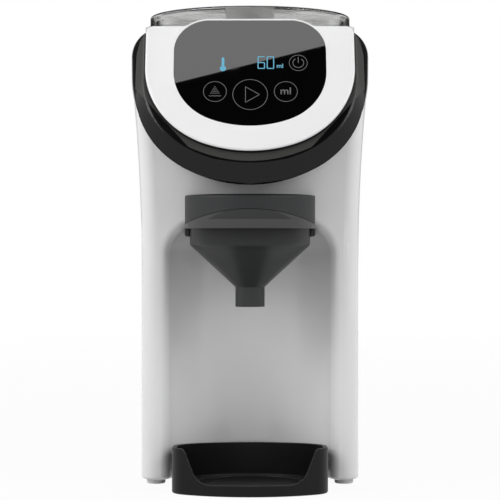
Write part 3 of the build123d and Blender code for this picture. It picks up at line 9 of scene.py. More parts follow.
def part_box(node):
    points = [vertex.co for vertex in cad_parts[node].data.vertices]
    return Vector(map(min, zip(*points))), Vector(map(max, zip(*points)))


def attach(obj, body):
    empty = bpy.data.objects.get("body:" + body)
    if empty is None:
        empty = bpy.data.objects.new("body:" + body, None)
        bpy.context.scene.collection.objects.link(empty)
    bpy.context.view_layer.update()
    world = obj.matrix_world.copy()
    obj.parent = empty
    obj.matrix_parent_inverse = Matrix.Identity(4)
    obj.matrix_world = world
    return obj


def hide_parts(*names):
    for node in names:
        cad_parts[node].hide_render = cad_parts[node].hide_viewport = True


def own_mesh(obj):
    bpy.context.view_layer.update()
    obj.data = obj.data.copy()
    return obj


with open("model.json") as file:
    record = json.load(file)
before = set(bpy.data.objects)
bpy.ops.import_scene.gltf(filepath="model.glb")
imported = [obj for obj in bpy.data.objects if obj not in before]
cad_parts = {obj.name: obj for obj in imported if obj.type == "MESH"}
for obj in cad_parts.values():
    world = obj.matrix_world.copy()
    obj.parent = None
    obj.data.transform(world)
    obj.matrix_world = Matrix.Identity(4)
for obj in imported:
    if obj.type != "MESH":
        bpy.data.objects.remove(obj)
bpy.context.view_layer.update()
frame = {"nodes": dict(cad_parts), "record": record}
print("loaded the frame:", len(frame["nodes"]), "nodes")

mm = 0.001


# camera
cameraValues = {
    "place": (0.0, -1.3, 0.15),
    "lens": 137.45,
    "sensor": 36,
    "pictureWidth": 500,  # in pixels
    "pictureMiddle": (249.5, 250),  # column and row that the camera looks along
}

cameraData = bpy.data.cameras.new("camera")
cameraData.lens = cameraValues["lens"]
cameraData.sensor_width = cameraValues["sensor"]
camera = bpy.data.objects.new("camera", cameraData)
camera.location = cameraValues["place"]
camera.rotation_euler = (math.radians(90), 0, 0)
bpy.context.scene.collection.objects.link(camera)
bpy.context.scene.camera = camera


# finishes
class Wire:
    # one node output, so that shader maths reads as maths
    def __init__(self, finish, socket):
        self.finish = finish
        self.socket = socket

    def maths(self, operation, first, second):
        return self.finish.node("ShaderNodeMath", {"operation": operation}, {0: first, 1: second})

    def __add__(self, other):
        return self.maths("ADD", self, other)

    def __radd__(self, other):
        return self.maths("ADD", other, self)

    def __sub__(self, other):
        return self.maths("SUBTRACT", self, other)

    def __rsub__(self, other):
        return self.maths("SUBTRACT", other, self)

    def __mul__(self, other):
        return self.maths("MULTIPLY", self, other)

    def __rmul__(self, other):
        return self.maths("MULTIPLY", other, self)

    def __lt__(self, other):
        return self.maths("LESS_THAN", self, other)

    def __gt__(self, other):
        return self.maths("GREATER_THAN", self, other)


class Finish:
    # a material being made; its shader is a Principled BSDF
    def __init__(self, name):
        self.material = bpy.data.materials.new(name)
        self.material.use_nodes = True
        self.tree = self.material.node_tree
        self.shader = self.tree.nodes["Principled BSDF"]

    def node(self, kind, settings=None, sockets=None, output=0):
        made = self.tree.nodes.new(kind)
        for key, value in (settings or {}).items():
            if key == "stops":
                ramp = made.color_ramp
                while len(ramp.elements) < len(value):
                    ramp.elements.new(0.5)
                for element, (position, shade) in zip(ramp.elements, value):
                    element.position = position
                    element.color = (shade, shade, shade, 1)
            else:
                setattr(made, key, value)
        for key, value in (sockets or {}).items():
            self.put(made.inputs[key], value)
        return Wire(self, made.outputs[output])

    def put(self, target, value):
        if isinstance(value, Wire):
            self.tree.links.new(value.socket, target)
        elif hasattr(value, "__len__") and target.type == "RGBA":
            target.default_value = (*value, 1) if len(value) == 3 else value
        else:
            target.default_value = value

    def set(self, **values):
        # Base_Color=... sets the shader's Base Color socket, and so on
        for key, value in values.items():
            self.put(self.shader.inputs[key.replace("_", " ")], value)

    def place(self, scale=(1, 1, 1)):
        spot = self.node("ShaderNodeTexCoord", output="Object")
        if scale == (1, 1, 1):
            return spot
        return self.node("ShaderNodeMapping", sockets={"Vector": spot, "Scale": scale})

    def noise(self, where, scale, detail=3.0, roughness=0.5):
        sockets = {"Vector": where, "Scale": scale, "Detail": detail, "Roughness": roughness}
        return self.node("ShaderNodeTexNoise", {}, sockets)

    def axis(self, where, name):
        return self.node("ShaderNodeSeparateXYZ", {}, {"Vector": where}, output=name)

    def blend(self, share, low, high):
        # a colour between low and high
        sockets = {"Factor": share, 6: low, 7: high}
        return self.node("ShaderNodeMix", {"data_type": "RGBA"}, sockets, output=2)

    def along(self, where, aim):
        # how far a place or a direction goes the way that aim points
        sockets = {0: where, 1: aim}
        return self.node("ShaderNodeVectorMath", {"operation": "DOT_PRODUCT"}, sockets, output="Value")

    def rays(self, kind):
        # 1 for rays of one kind, such as Camera or Glossy
        return self.node("ShaderNodeLightPath", output=f"Is {kind} Ray")

    def rounded(self, radius):
        # the normal as if sharp edges had this radius
        return self.node("ShaderNodeBevel", {"samples": 6}, {"Radius": radius})

    def ramp(self, value, stops):
        return self.node("ShaderNodeValToRGB", {"stops": stops}, {"Fac": value})

    def bump(self, height, strength, distance, edge=0.0):
        sockets = {"Strength": strength, "Distance": distance, "Height": height}
        if edge:
            sockets["Normal"] = self.rounded(edge)
        return self.node("ShaderNodeBump", {}, sockets)

    def edges(self, radius):
        # 1 where the surface turns sharply
        plain = self.node("ShaderNodeNewGeometry", output="Normal")
        return self.ramp(1 - self.along(self.rounded(radius), plain), [(0.02, 0), (0.22, 1)])

    def greatest(self, first, second):
        return self.node("ShaderNodeMath", {"operation": "MAXIMUM"}, {0: first, 1: second})

    def size(self, value):
        return self.node("ShaderNodeMath", {"operation": "ABSOLUTE"}, {0: value})


def darker(colour, share):
    return tuple(channel * share for channel in colour)


# the tilted control face
faceValues = {
    "foot": (0.0, -0.140, 0.2109),  # middle of the face's lower edge
    "lean": 25.7,
    "wall": (0.008, 0.008, 0.008),  # colour of the frame's side
    "lift": 0.02,  # mm of the prints above the glass
    "depth": 0.04,  # mm of the prints
}
lean = math.radians(faceValues["lean"])
faceNormal = Vector((0, -math.cos(lean), math.sin(lean)))
faceLevel = Vector(faceValues["foot"]).dot(faceNormal)

# colours are linear, and shade is the darker patches' share of them; spread is how far the roughness
# varies; grain is per metre, relief and edge in metres
mouldedValues = {
    "white_gloss": {
        "colour": (0.82, 0.82, 0.82), "shade": 0.965, "rough": 0.24, "spread": 0.10, "grain": 2600,
        "relief": 0.00002, "coat": 0.25, "shine": 0.5,
    },
    "face_white": {
        "colour": (0.86, 0.86, 0.86), "shade": 0.97, "rough": 0.32, "spread": 0.10, "grain": 3200,
        "relief": 0.00002, "coat": 0.15, "shine": 0.5, "frontSkin": 0.0012,
    },
    "deck_white": {
        "colour": (0.82, 0.82, 0.82), "shade": 0.96, "rough": 0.28, "spread": 0.12, "grain": 2600,
        "relief": 0.00002, "coat": 0.2, "shine": 0.5,
    },
    # hood_grey and tray_black carry a painted highlight along their sharp edges
    "hood_grey": {
        "colour": (0.020, 0.021, 0.022), "shade": 0.85, "rough": 0.48, "spread": 0.10, "grain": 3800,
        "relief": 0.00005, "coat": 0.0, "shine": 0.3, "edge": 0.0006, "edgeHighlight": (0.075, 0.075, 0.073),
    },
    "tray_black": {
        "colour": (0.004, 0.004, 0.004), "shade": 0.8, "rough": 0.42, "spread": 0.12, "grain": 3600,
        "relief": 0.00005, "coat": 0.0, "shine": 0.18, "edge": 0.0009, "edgeHighlight": (0.070, 0.070, 0.068),
    },
    "white_part": {
        "colour": (0.76, 0.76, 0.74), "shade": 0.94, "rough": 0.45, "spread": 0.12, "grain": 3000,
        "relief": 0.00005, "coat": 0.0, "shine": 0.5,
    },
    "grey_part": {
        "colour": (0.30, 0.31, 0.32), "shade": 0.9, "rough": 0.42, "spread": 0.12, "grain": 3000,
        "relief": 0.00005, "coat": 0.0, "shine": 0.5,
    },
    "black_part": {
        "colour": (0.018, 0.018, 0.019), "shade": 0.8, "rough": 0.40, "spread": 0.14, "grain": 3400,
        "relief": 0.00006, "coat": 0.0, "shine": 0.4,
    },
}


def mouldedPlastic(name, values):
    made = Finish(name)
    where = made.place()
    flow = made.noise(where, scale=9, detail=4, roughness=0.55)  # slow drift of shade from the mould
    wiping = made.noise(made.place((1, 1, 0.25)), scale=60, detail=5, roughness=0.6)  # drawn out upwards
    grain = made.noise(where, scale=values["grain"], detail=2)
    patches = made.ramp(flow, [(0.35, 0), (0.65, 1)])
    shade = made.blend(patches, darker(values["colour"], values["shade"]), values["colour"])
    rough = values["rough"] + (wiping - 0.5) * values["spread"]
    if "frontSkin" in values:  # pale only this deep, and black behind
        behind = made.along(where, faceNormal) < faceLevel - values["frontSkin"]
        shade = made.blend(behind, shade, faceValues["wall"])
    # painted highlight: a lighter colour along sharp edges, where the gloss would catch light
    if "edgeHighlight" in values:
        shade = made.blend(made.edges(values["edge"]), shade, values["edgeHighlight"])
    made.set(
        Base_Color=shade,
        Roughness=rough + (flow - 0.5) * (values["spread"] / 2),
        Coat_Weight=values["coat"],
        Coat_Roughness=0.06,
        Specular_IOR_Level=values["shine"],
        Normal=made.bump(
            grain * 0.6 + wiping * 0.4, strength=0.25, distance=values["relief"], edge=values.get("edge", 0)
        ),
    )
    return made.material


collarValues = {
    "colour": (0.0035, 0.0035, 0.0036),
    "shade": 0.7,
    "rough": 0.11,
    "swirlRough": 0.06,
    "shine": 0.24,
    "window": (0.040, 0.040, 0.038),  # painted reflection: a grey crescent under the face, where the gloss mirrors bright light
    "windowRough": 0.25,  # more than the gloss
    "windowHalf": 0.0377,
    "windowLow": 0.2042,
    "windowRise": 0.0087,  # from its middle to its lower corners
    "windowSlant": 0.9,  # of its ends: across for each metre up
    "windowRear": -0.098,
}


def collarGloss(name, values):
    made = Finish(name)
    where = made.place()
    swirl = made.noise(made.place((0.4, 1, 1)), scale=140, detail=6, roughness=0.65)  # of polishing
    flow = made.noise(where, scale=12)
    across = made.axis(where, "X")
    upward = made.axis(where, "Z")
    # painted reflection: the crescent under the face gets a grey colour that stands in for mirrored light
    sideways = across * across * (values["windowRise"] / values["windowHalf"] ** 2)
    above = upward > sideways + values["windowLow"]
    corner = values["windowLow"] + values["windowRise"]
    inside = made.size(across) < (upward - corner) * values["windowSlant"] + values["windowHalf"]
    before = made.axis(where, "Y") < values["windowRear"]
    window = above * inside * before
    gloss = made.blend(flow, darker(values["colour"], values["shade"]), values["colour"])
    swirled = made.ramp(swirl, [(0.5, 0), (0.8, 1)])
    made.set(
        Base_Color=made.blend(window, gloss, values["window"]),
        Roughness=values["rough"] + swirled * values["swirlRough"] + window * values["windowRough"],
        Specular_IOR_Level=values["shine"],
        Normal=made.bump(flow, strength=0.1, distance=0.00005),
    )
    return made.material


clearValues = {
    "clear": {
        "colour": (0.92, 0.93, 0.93), "shade": 0.94, "rough": 0.06, "spread": 0.08, "ripple": 0.00006,
    },
    "lid_clear": {
        "colour": (0.84, 0.84, 0.83), "shade": 0.94, "rough": 0.03, "spread": 0.03, "ripple": 0.00003,
        "edge": 0.0011, "edgeRough": 0.6,  # the light that runs along the rims
        "frost": {"half": 0.0155, "rear": -0.0884, "rough": 0.5},  # the tab's matt skin
    },
    "tank_smoke": {
        "colour": (0.44, 0.45, 0.46), "shade": 0.94, "rough": 0.09, "spread": 0.10, "ripple": 0.00008,
    },
}


def clearPlastic(name, values):
    made = Finish(name)
    where = made.place()
    flow = made.noise(made.place((1, 1, 0.4)), scale=22)
    marks = made.noise(where, scale=240, detail=5, roughness=0.65)
    rough = values["rough"] + made.ramp(marks, [(0.5, 0), (0.8, 1)]) * values["spread"]
    if "frost" in values:
        frost = values["frost"]
        tab = (made.size(made.axis(where, "X")) < frost["half"]) * (made.axis(where, "Y") < frost["rear"])
        rough = made.greatest(rough, tab * frost["rough"])
    shade = made.blend(flow, darker(values["colour"], values["shade"]), values["colour"])
    if "edge" in values:
        rims = made.edges(values["edge"])
        shade = made.blend(rims, shade, (1, 1, 1))
        rough = made.greatest(rough, rims * values["edgeRough"])
    made.set(
        Base_Color=shade,
        Roughness=rough,
        Transmission_Weight=1.0,
        IOR=1.5,
        Normal=made.bump(flow, strength=0.3, distance=values["ripple"]),
    )
    return made.material


funnelValues = {
    "cone": (0.046, 0.048, 0.049),
    "shade": 0.8,
    "rough": 0.30,
    "spread": 0.12,
    "clear": 0.2,
    "shine": 0.15,
    "bandColour": (0.075, 0.076, 0.075),
    "hillShade": (0.040, 0.041, 0.041),  # painted shade: the shaded mound seen in the band
    "paintedShadow": (0.004, 0.004, 0.004),
    "bandLow": 0.1633,
    "shadowLow": 0.1485,  # where the cone begins to darken towards the band, a painted shadow beneath it
    "hillLow": 0.1690,
    "hillHalf": 0.026,
    "hillRise": 0.0075,
}


def smokedFunnel(name, values):
    made = Finish(name)
    where = made.place()
    flow = made.noise(where, scale=30)
    marks = made.noise(made.place((1, 1, 0.3)), scale=180, detail=5, roughness=0.6)
    upward = made.axis(where, "Z")
    across = made.size(made.axis(where, "X"))
    bow = values["hillRise"] / values["hillHalf"] ** 2
    hillTop = (values["hillLow"] + values["hillRise"]) - across * across * bow
    shadedMound = (upward > values["hillLow"]) * (upward < hillTop)
    cone = made.blend(flow, darker(values["cone"], values["shade"]), values["cone"])
    # painted shadow: the cone darkens to near black towards the band; painted shade on a mound in the band
    span = {"Value": upward, "From Min": values["shadowLow"], "From Max": values["bandLow"]}
    shadowFade = made.node("ShaderNodeMapRange", {}, span)
    low = made.blend(shadowFade, cone, values["paintedShadow"])
    band = made.blend(shadedMound, values["bandColour"], values["hillShade"])
    made.set(
        Base_Color=made.blend(upward > values["bandLow"], low, band),
        Roughness=values["rough"] + (marks - 0.5) * values["spread"],
        Transmission_Weight=values["clear"],
        Specular_IOR_Level=values["shine"],
        IOR=1.5,
        Normal=made.bump(flow, strength=0.2, distance=0.00008),
    )
    return made.material


glassValues = {
    "clean": (0.0005, 0.0005, 0.0006),
    "smeared": (0.0012, 0.0012, 0.0014),
    "rough": 0.012,
    "smearRough": 0.03,
    "dustRough": 0.05,
}


def touchGlass(name, values):
    made = Finish(name)
    smear = made.noise(made.place((1, 0.5, 0.5)), scale=55, detail=5, roughness=0.6)  # faint finger marks
    speck = made.noise(made.place(), scale=1400, detail=2)
    smeared = made.ramp(smear, [(0.55, 0), (0.8, 1)])
    dust = made.ramp(speck, [(0.72, 0), (0.8, 1)])
    made.set(
        Base_Color=made.blend(smear, values["clean"], values["smeared"]),
        Roughness=values["rough"] + smeared * values["smearRough"] + dust * values["dustRough"],
        IOR=1.5,
    )
    return made.material


screenValues = {
    "dark": (0.010, 0.012, 0.016),
    "light": (0.03, 0.034, 0.042),
    "rough": 0.5,
    "spread": 0.3,
}


def displayModule(name, values):
    made = Finish(name)
    weave = made.noise(made.place(), scale=700, roughness=0.6)
    made.set(
        Base_Color=made.blend(weave, values["dark"], values["light"]),
        Roughness=values["rough"] + (weave - 0.5) * values["spread"],
        Normal=made.bump(weave, strength=0.3, distance=0.00005),
    )
    return made.material


circuitValues = {
    "mask": (0.012, 0.105, 0.045),
    "copper": (0.03, 0.20, 0.075),
    "pads": (0.62, 0.60, 0.55),
    "padScale": 330,
    "padShine": 0.8,  # how far the solder is metal
    "trackScale": 190,
    "rough": 0.42,
    "padSmooth": 0.15,
}


def circuitBoard(name, values):
    made = Finish(name)
    bricks = {
        "Vector": made.place((1, 0, 1)),
        "Color1": (0, 0, 0),
        "Color2": (0.25, 0.25, 0.25),
        "Mortar": (1, 1, 1),
        "Scale": values["trackScale"],
        "Mortar Size": 0.03,
        "Brick Width": 0.9,
        "Row Height": 0.35,
    }
    tracks = made.node("ShaderNodeTexBrick", {"offset": 0.5, "squash": 0.6}, bricks)
    spots = {"Vector": made.place(), "Scale": values["padScale"]}
    dots = made.node("ShaderNodeTexVoronoi", {}, spots, output="Distance")
    solder = made.ramp(dots, [(0.16, 1), (0.19, 0)])
    board = made.blend(tracks, values["mask"], values["copper"])
    made.set(
        Base_Color=made.blend(solder, board, values["pads"]),
        Metallic=solder * values["padShine"],
        Roughness=values["rough"] - solder * values["padSmooth"],
        Normal=made.bump(tracks, strength=0.3, distance=0.00006),
    )
    return made.material


metalValues = {
    "steel": {
        "colour": (0.55, 0.55, 0.54), "shade": 0.72, "rough": 0.30, "spread": 0.25, "streak": (1, 1, 14),
        "relief": 0.00003,
    },
    "brass": {
        "colour": (0.68, 0.50, 0.22), "shade": 0.72, "rough": 0.26, "spread": 0.25, "streak": (1, 9, 1),
        "relief": 0.00002,
    },
    "aluminium": {
        "colour": (0.62, 0.63, 0.64), "shade": 0.72, "rough": 0.48, "spread": 0.25, "streak": (1, 1, 1),
        "relief": 0.00015,
    },
}


def metal(name, values):
    made = Finish(name)
    streak = made.noise(made.place(values["streak"]), scale=260, detail=5, roughness=0.65)
    patch = made.noise(made.place(), scale=35)
    deep = darker(values["colour"], values["shade"])
    made.set(
        Base_Color=made.blend(streak * 0.6 + patch * 0.4, deep, values["colour"]),
        Metallic=1.0,
        Roughness=values["rough"] + (streak - 0.5) * values["spread"],
        Normal=made.bump(streak, strength=0.5, distance=values["relief"]),
    )
    return made.material


softValues = {
    "rubber": {"colour": (0.80, 0.80, 0.79), "shade": 0.85, "rough": 0.72, "spread": 0.2, "clear": 0.0},
    "silicone": {"colour": (0.70, 0.72, 0.71), "shade": 0.85, "rough": 0.38, "spread": 0.2, "clear": 0.45},
}


def softRubber(name, values):
    made = Finish(name)
    where = made.place()
    bloom = made.noise(where, scale=120, detail=4, roughness=0.6)
    grain = made.noise(where, scale=3000, detail=2)
    deep = darker(values["colour"], values["shade"])
    made.set(
        Base_Color=made.blend(bloom, deep, values["colour"]),
        Roughness=values["rough"] + (bloom - 0.5) * values["spread"],
        Transmission_Weight=values["clear"],
        IOR=1.42,
        Normal=made.bump(grain, strength=0.4, distance=0.00008),
    )
    return made.material


finishes = {name: mouldedPlastic(name, values) for name, values in mouldedValues.items()}
finishes.update({name: clearPlastic(name, values) for name, values in clearValues.items()})
finishes.update({name: metal(name, values) for name, values in metalValues.items()})
finishes.update({name: softRubber(name, values) for name, values in softValues.items()})
finishes["funnel_smoke"] = smokedFunnel("funnel_smoke", funnelValues)
finishes["smoked_glass"] = touchGlass("smoked_glass", glassValues)
finishes["black_gloss"] = collarGloss("black_gloss", collarValues)
finishes["display"] = displayModule("display", screenValues)
finishes["circuit_board"] = circuitBoard("circuit_board", circuitValues)

for entry in frame["record"]["subparts"]:
    node = frame["nodes"][entry["node"]]
    node.data.materials.clear()
    node.data.materials.append(finishes[entry["material_slot"]])
print("finishes set on the carried nodes:", len(finishes))


# marks on the touch glass
facePlace = Matrix((
    (mm, 0, 0, faceValues["foot"][0]),
    (0, mm * math.sin(lean), -mm * math.cos(lean), faceValues["foot"][1]),
    (0, mm * math.cos(lean), mm * math.sin(lean), faceValues["foot"][2]),
    (0, 0, 0, 1),
))


def makeObject(name, shape, material):
    mesh = bpy.data.meshes.new(name)
    shape.to_mesh(mesh)
    shape.free()
    mesh.materials.append(material)
    made = bpy.data.objects.new(name, mesh)
    bpy.context.scene.collection.objects.link(made)
    return made


def addPiece(name, shape, body, material):
    piece = makeObject(name, shape, material)
    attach(piece, body)
    return piece


def ring(shape, middle, radius, width, steps=96):
    centre = Matrix.Translation((*middle, 0))
    made = bmesh.ops.create_circle(shape, segments=steps, radius=radius - width / 2, matrix=centre)
    edges = list({edge for vert in made["verts"] for edge in vert.link_edges})
    grown = bmesh.ops.extrude_edge_only(shape, edges=edges)
    outer = [item for item in grown["geom"] if isinstance(item, bmesh.types.BMVert)]
    growth = (radius + width / 2) / (radius - width / 2)
    bmesh.ops.scale(shape, vec=(growth, growth, 1), space=centre.inverted(), verts=outer)


def disc(shape, middle, radius, steps=40):
    centre = Matrix.Translation((*middle, 0))
    bmesh.ops.create_circle(shape, cap_ends=True, segments=steps, radius=radius, matrix=centre)


def stroke(shape, start, end, width):
    # a straight bar with round ends, drawn flat
    first, second = Vector(start), Vector(end)
    along = second - first
    place = Matrix.Translation((*first, 0)) @ Matrix.Rotation(math.atan2(along.y, along.x), 4, "Z")
    made = bmesh.ops.create_circle(shape, cap_ends=True, segments=24, radius=width / 2, matrix=place)
    front = [vert for vert in made["verts"] if (vert.co.xy - first).dot(along) > 1e-6]
    bmesh.ops.translate(shape, vec=(*along, 0), verts=front)


def arc(shape, middle, radius, width, start, sweep, steps=40):
    spot = Vector((*middle, 0))
    ray = Vector((math.cos(start), math.sin(start), 0))
    ends = [shape.verts.new(spot + ray * (radius + side * width / 2)) for side in (-1, 1)]
    edge = shape.edges.new(ends)
    bmesh.ops.spin(shape, geom=[*ends, edge], cent=spot, axis=(0, 0, 1), angle=sweep, steps=steps)


def printOn(name, shape, material):
    # gives flat marks their thin depth and sets them on the glass
    bmesh.ops.recalc_face_normals(shape, faces=shape.faces)
    down = [face for face in shape.faces if face.normal.z < 0]
    bmesh.ops.reverse_faces(shape, faces=down)
    grown = bmesh.ops.extrude_face_region(shape, geom=list(shape.faces), use_keep_orig=True)
    top = [item for item in grown["geom"] if isinstance(item, bmesh.types.BMVert)]
    bmesh.ops.translate(shape, vec=(0, 0, faceValues["depth"]), verts=top)
    bmesh.ops.recalc_face_normals(shape, faces=shape.faces)
    bmesh.ops.translate(shape, vec=(0, 0, faceValues["lift"]), verts=shape.verts)
    bmesh.ops.transform(shape, matrix=facePlace, verts=shape.verts)
    addPiece(name, shape, "machine", material)


def letters(shape, text, middle, height, weight):
    # lettering as a flat mesh, centred on middle
    curve = bpy.data.curves.new("lettering", "FONT")
    curve.body = text
    curve.size = height
    curve.align_x = "CENTER"
    curve.align_y = "CENTER"
    curve.offset = weight
    holder = bpy.data.objects.new("lettering", curve)
    bpy.context.scene.collection.objects.link(holder)
    bpy.context.view_layer.update()
    flat = bpy.data.meshes.new_from_object(holder)
    flat.transform(Matrix.Translation((*middle, 0)))
    shape.from_mesh(flat)
    bpy.data.objects.remove(holder)


legendValues = {  # in mm up and across the face
    "line": 0.36,  # stroke of the rings
    "power": (30.0, 61.5, 5.6),  # middle across and up, radius
    "dose": (-21.65, 40.9, 7.1),
    "play": (0.1, 38.8, 10.7),
    "volume": (22.1, 40.9, 7.1),
    "powerArc": {"share": 0.6, "line": 0.45, "start": 122, "sweep": 296},  # share of the radius, degrees
    "powerStalk": {"low": 0.4, "share": 0.72, "line": 0.5},
    "playCorners": ((-2.9, 5.5), (-2.9, -5.6), (5.8, 0)),
    "playLine": 0.42,
    "heap": {"rows": 5, "top": 3.4, "across": 1.25, "down": 1.15, "grain": 0.36},
    "wave": {"bends": 6, "left": -3.6, "low": -2.9, "across": 1.25, "run": 0.9, "rise": 0.35, "line": 0.45},
    "letters": {"up": 0.2, "height": 7.2, "weight": 0.07},
    "dark": (0.08, 0.08, 0.08),
    "pale": (0.15, 0.15, 0.145),
    "rough": 0.5,
    "spread": 0.2,
}


def legendPrint(name, values):
    made = Finish(name)
    fleck = made.noise(made.place(), scale=2500, roughness=0.6)
    made.set(
        Base_Color=made.blend(fleck, values["dark"], values["pale"]),
        Roughness=values["rough"] + (fleck - 0.5) * values["spread"],
    )
    return made.material


def powerMark(shape, values):
    x, y, radius = values["power"]
    bow, stalk = values["powerArc"], values["powerStalk"]
    start, sweep = math.radians(bow["start"]), math.radians(bow["sweep"])
    arc(shape, (x, y), radius * bow["share"], bow["line"], start, sweep)
    stroke(shape, (x, y + stalk["low"]), (x, y + radius * stalk["share"]), stalk["line"])


def playMark(shape, values):
    x, y = values["play"][:2]
    corners = [(x + across, y + up) for across, up in values["playCorners"]]
    for start, end in zip(corners, corners[1:] + corners[:1]):
        stroke(shape, start, end, values["playLine"])


def doseMark(shape, values):
    # a heap of powder over the wavy edge of a spoon
    x, y = values["dose"][:2]
    heap, wave = values["heap"], values["wave"]
    for row in range(heap["rows"]):
        for column in range(row + 1):
            across = (column - row / 2) * heap["across"]
            up = heap["top"] - row * heap["down"]
            disc(shape, (x + across, y + up), heap["grain"], steps=12)
    for bend in range(wave["bends"]):
        left = x + wave["left"] + bend * wave["across"]
        heights = [y + wave["low"] - wave["rise"] * ((bend + end) % 2) for end in (0, 1)]
        stroke(shape, (left, heights[0]), (left + wave["run"], heights[1]), wave["line"])


def volumeMark(shape, values):
    x, y = values["volume"][:2]
    text = values["letters"]
    letters(shape, "ml", (x, y + text["up"]), text["height"], text["weight"])


print("drawing the touch marks")
marks = bmesh.new()
for key in ("power", "dose", "play", "volume"):
    x, y, radius = legendValues[key]
    ring(marks, (x, y), radius, legendValues["line"])
for drawMark in (powerMark, playMark, doseMark, volumeMark):
    drawMark(marks, legendValues)
printOn("touchMarks", marks, legendPrint("legend_print", legendValues))

displayValues = {  # in mm up and across the face
    "digitHeight": 8.4,
    "digitWidth": 4.0,
    "digitGap": 1.7,
    "line": 0.62,
    "endShare": 0.35,  # of a line's width that each stroke stops short
    "left": 5.0,  # of the first digit
    "low": 57.5,
    "thermometer": (-16.8, 57.4),  # middle of the bulb
    "bulb": 1.9,
    "stem": 7.2,
    "stemWidth": 1.7,
    "letters": {"middle": (18.6, 59.2), "height": 4.4, "weight": 0.05},
    "unlit": (0.05, 0.15, 0.2),
    "rough": 0.4,
    "deep": (0.10, 0.46, 0.72),
    "bright": (0.22, 0.66, 0.90),
    "glow": 0.5,
}
segments = {  # of a seven-segment digit: each stroke from and to, as shares of width and height
    "top": ((0, 1), (1, 1)),
    "middle": ((0, 0.5), (1, 0.5)),
    "bottom": ((0, 0), (1, 0)),
    "upperLeft": ((0, 0.5), (0, 1)),
    "upperRight": ((1, 0.5), (1, 1)),
    "lowerLeft": ((0, 0), (0, 0.5)),
    "lowerRight": ((1, 0), (1, 0.5)),
}
digits = [  # six and nought
    ("top", "middle", "bottom", "upperLeft", "lowerLeft", "lowerRight"),
    ("top", "bottom", "upperLeft", "upperRight", "lowerLeft", "lowerRight"),
]


def litPrint(name, values):
    made = Finish(name)
    glow = made.noise(made.place(), scale=1500, detail=2)
    made.set(
        Base_Color=values["unlit"],
        Roughness=values["rough"],
        Emission_Color=made.blend(glow, values["deep"], values["bright"]),
        Emission_Strength=values["glow"],
    )
    return made.material


def digit(shape, names, left, values):
    for name in names:
        ends = [
            Vector((left + across * values["digitWidth"], values["low"] + up * values["digitHeight"]))
            for across, up in segments[name]
        ]
        short = (ends[1] - ends[0]).normalized() * values["line"] * values["endShare"]
        stroke(shape, ends[0] + short, ends[1] - short, values["line"])


def thermometer(shape, values):
    across, up = values["thermometer"]
    disc(shape, (across, up), values["bulb"])
    stroke(shape, (across, up), (across, up + values["stem"]), values["stemWidth"])


print("lighting the display")
lit = bmesh.new()
for place, names in enumerate(digits):
    pitch = displayValues["digitWidth"] + displayValues["digitGap"]
    digit(lit, names, displayValues["left"] + place * pitch, displayValues)
unitText = displayValues["letters"]
letters(lit, "ml", unitText["middle"], unitText["height"], unitText["weight"])
thermometer(lit, displayValues)
printOn("litDigits", lit, litPrint("lit_digits", displayValues))


# the tank valve's spring
springValues = {
    "wire": 0.0004,  # radius
    "turns": 4,
    "steps": 28,  # to a turn
    "sides": 12,
    "travel": 0.003,
}


def coilSpring(values, low, high):
    # wound between two corners of the box it stands in
    middle = (low + high) / 2
    steps = values["turns"] * values["steps"]
    rise = high.z - low.z - 2 * values["wire"]
    start = Matrix.Translation((high.x - values["wire"], middle.y, low.z + values["wire"]))
    upright = Matrix.Rotation(math.radians(90), 4, "X")
    coil = bmesh.new()
    bmesh.ops.create_circle(
        coil, cap_ends=True, segments=values["sides"], radius=values["wire"], matrix=start @ upright
    )
    bmesh.ops.spin(
        coil, geom=[*coil.verts, *coil.edges, *coil.faces], cent=(middle.x, middle.y, 0), axis=(0, 0, 1),
        angle=values["turns"] * math.tau, steps=steps, dvec=(0, 0, rise / steps),
    )
    bmesh.ops.recalc_face_normals(coil, faces=coil.faces)
    return coil


print("winding the valve spring")
low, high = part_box("valve_spring")
coil = coilSpring(springValues, low, high)
valveSpring = addPiece("valveSpring", coil, "tank", finishes["steel"])
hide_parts("valve_spring")
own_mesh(valveSpring)


# room
roomValues = {
    "floorHalf": 20,  # of its width
    "floorColour": (0.74, 0.74, 0.74),
    "floorGlow": 0.94,  # near the machine: how much of the floor's whiteness doesn't depend on the lamps
    "floorFade": (0.4, 2.2),  # from the middle, between which the floor turns plain white
    "level": 0.60,  # of the room's own light
    "frontLevel": 0.36,  # the same, from straight before the machine
    "frontFade": [(0.60, 0), (0.95, 1)],
    "dark": 0.02,  # the unlit patch that the control glass mirrors
    "darkFade": [(0.90, 0), (0.96, 1)],
    "screens": [(0.55, 0), (0.66, 0.97), (0.965, 0.97), (0.985, 0)],  # dark, at the rear, for gloss alone
}


def pictured(finish):
    # 1 for rays that show the background: to the camera, in gloss and through clear plastic
    sockets = {0: finish.rays("Camera") + finish.rays("Glossy"), 1: finish.rays("Transmission")}
    return finish.node("ShaderNodeMath", {"operation": "ADD", "use_clamp": True}, sockets)


def paleFloor(name, values):
    made = Finish(name)
    made.set(Base_Color=values["floorColour"], Roughness=0.9)
    away = made.node("ShaderNodeVectorMath", {"operation": "LENGTH"}, {0: made.place()}, output="Value")
    near, far = values["floorFade"]
    faded = made.ramp(away * (1 / far), [(near / far, values["floorGlow"]), (1, 1)])
    glowing = made.node("ShaderNodeEmission", sockets={"Color": (1, 1, 1), "Strength": 1.0})
    plain = Wire(made, made.shader.outputs[0])
    mixed = made.node("ShaderNodeMixShader", sockets={0: pictured(made) * faded, 1: plain, 2: glowing})
    made.put(made.tree.nodes["Material Output"].inputs["Surface"], mixed)
    return made.material


floorShape = bmesh.new()
bmesh.ops.create_grid(floorShape, x_segments=2, y_segments=2, size=roomValues["floorHalf"])
floor = makeObject("floor", floorShape, paleFloor("floor_pale", roomValues))

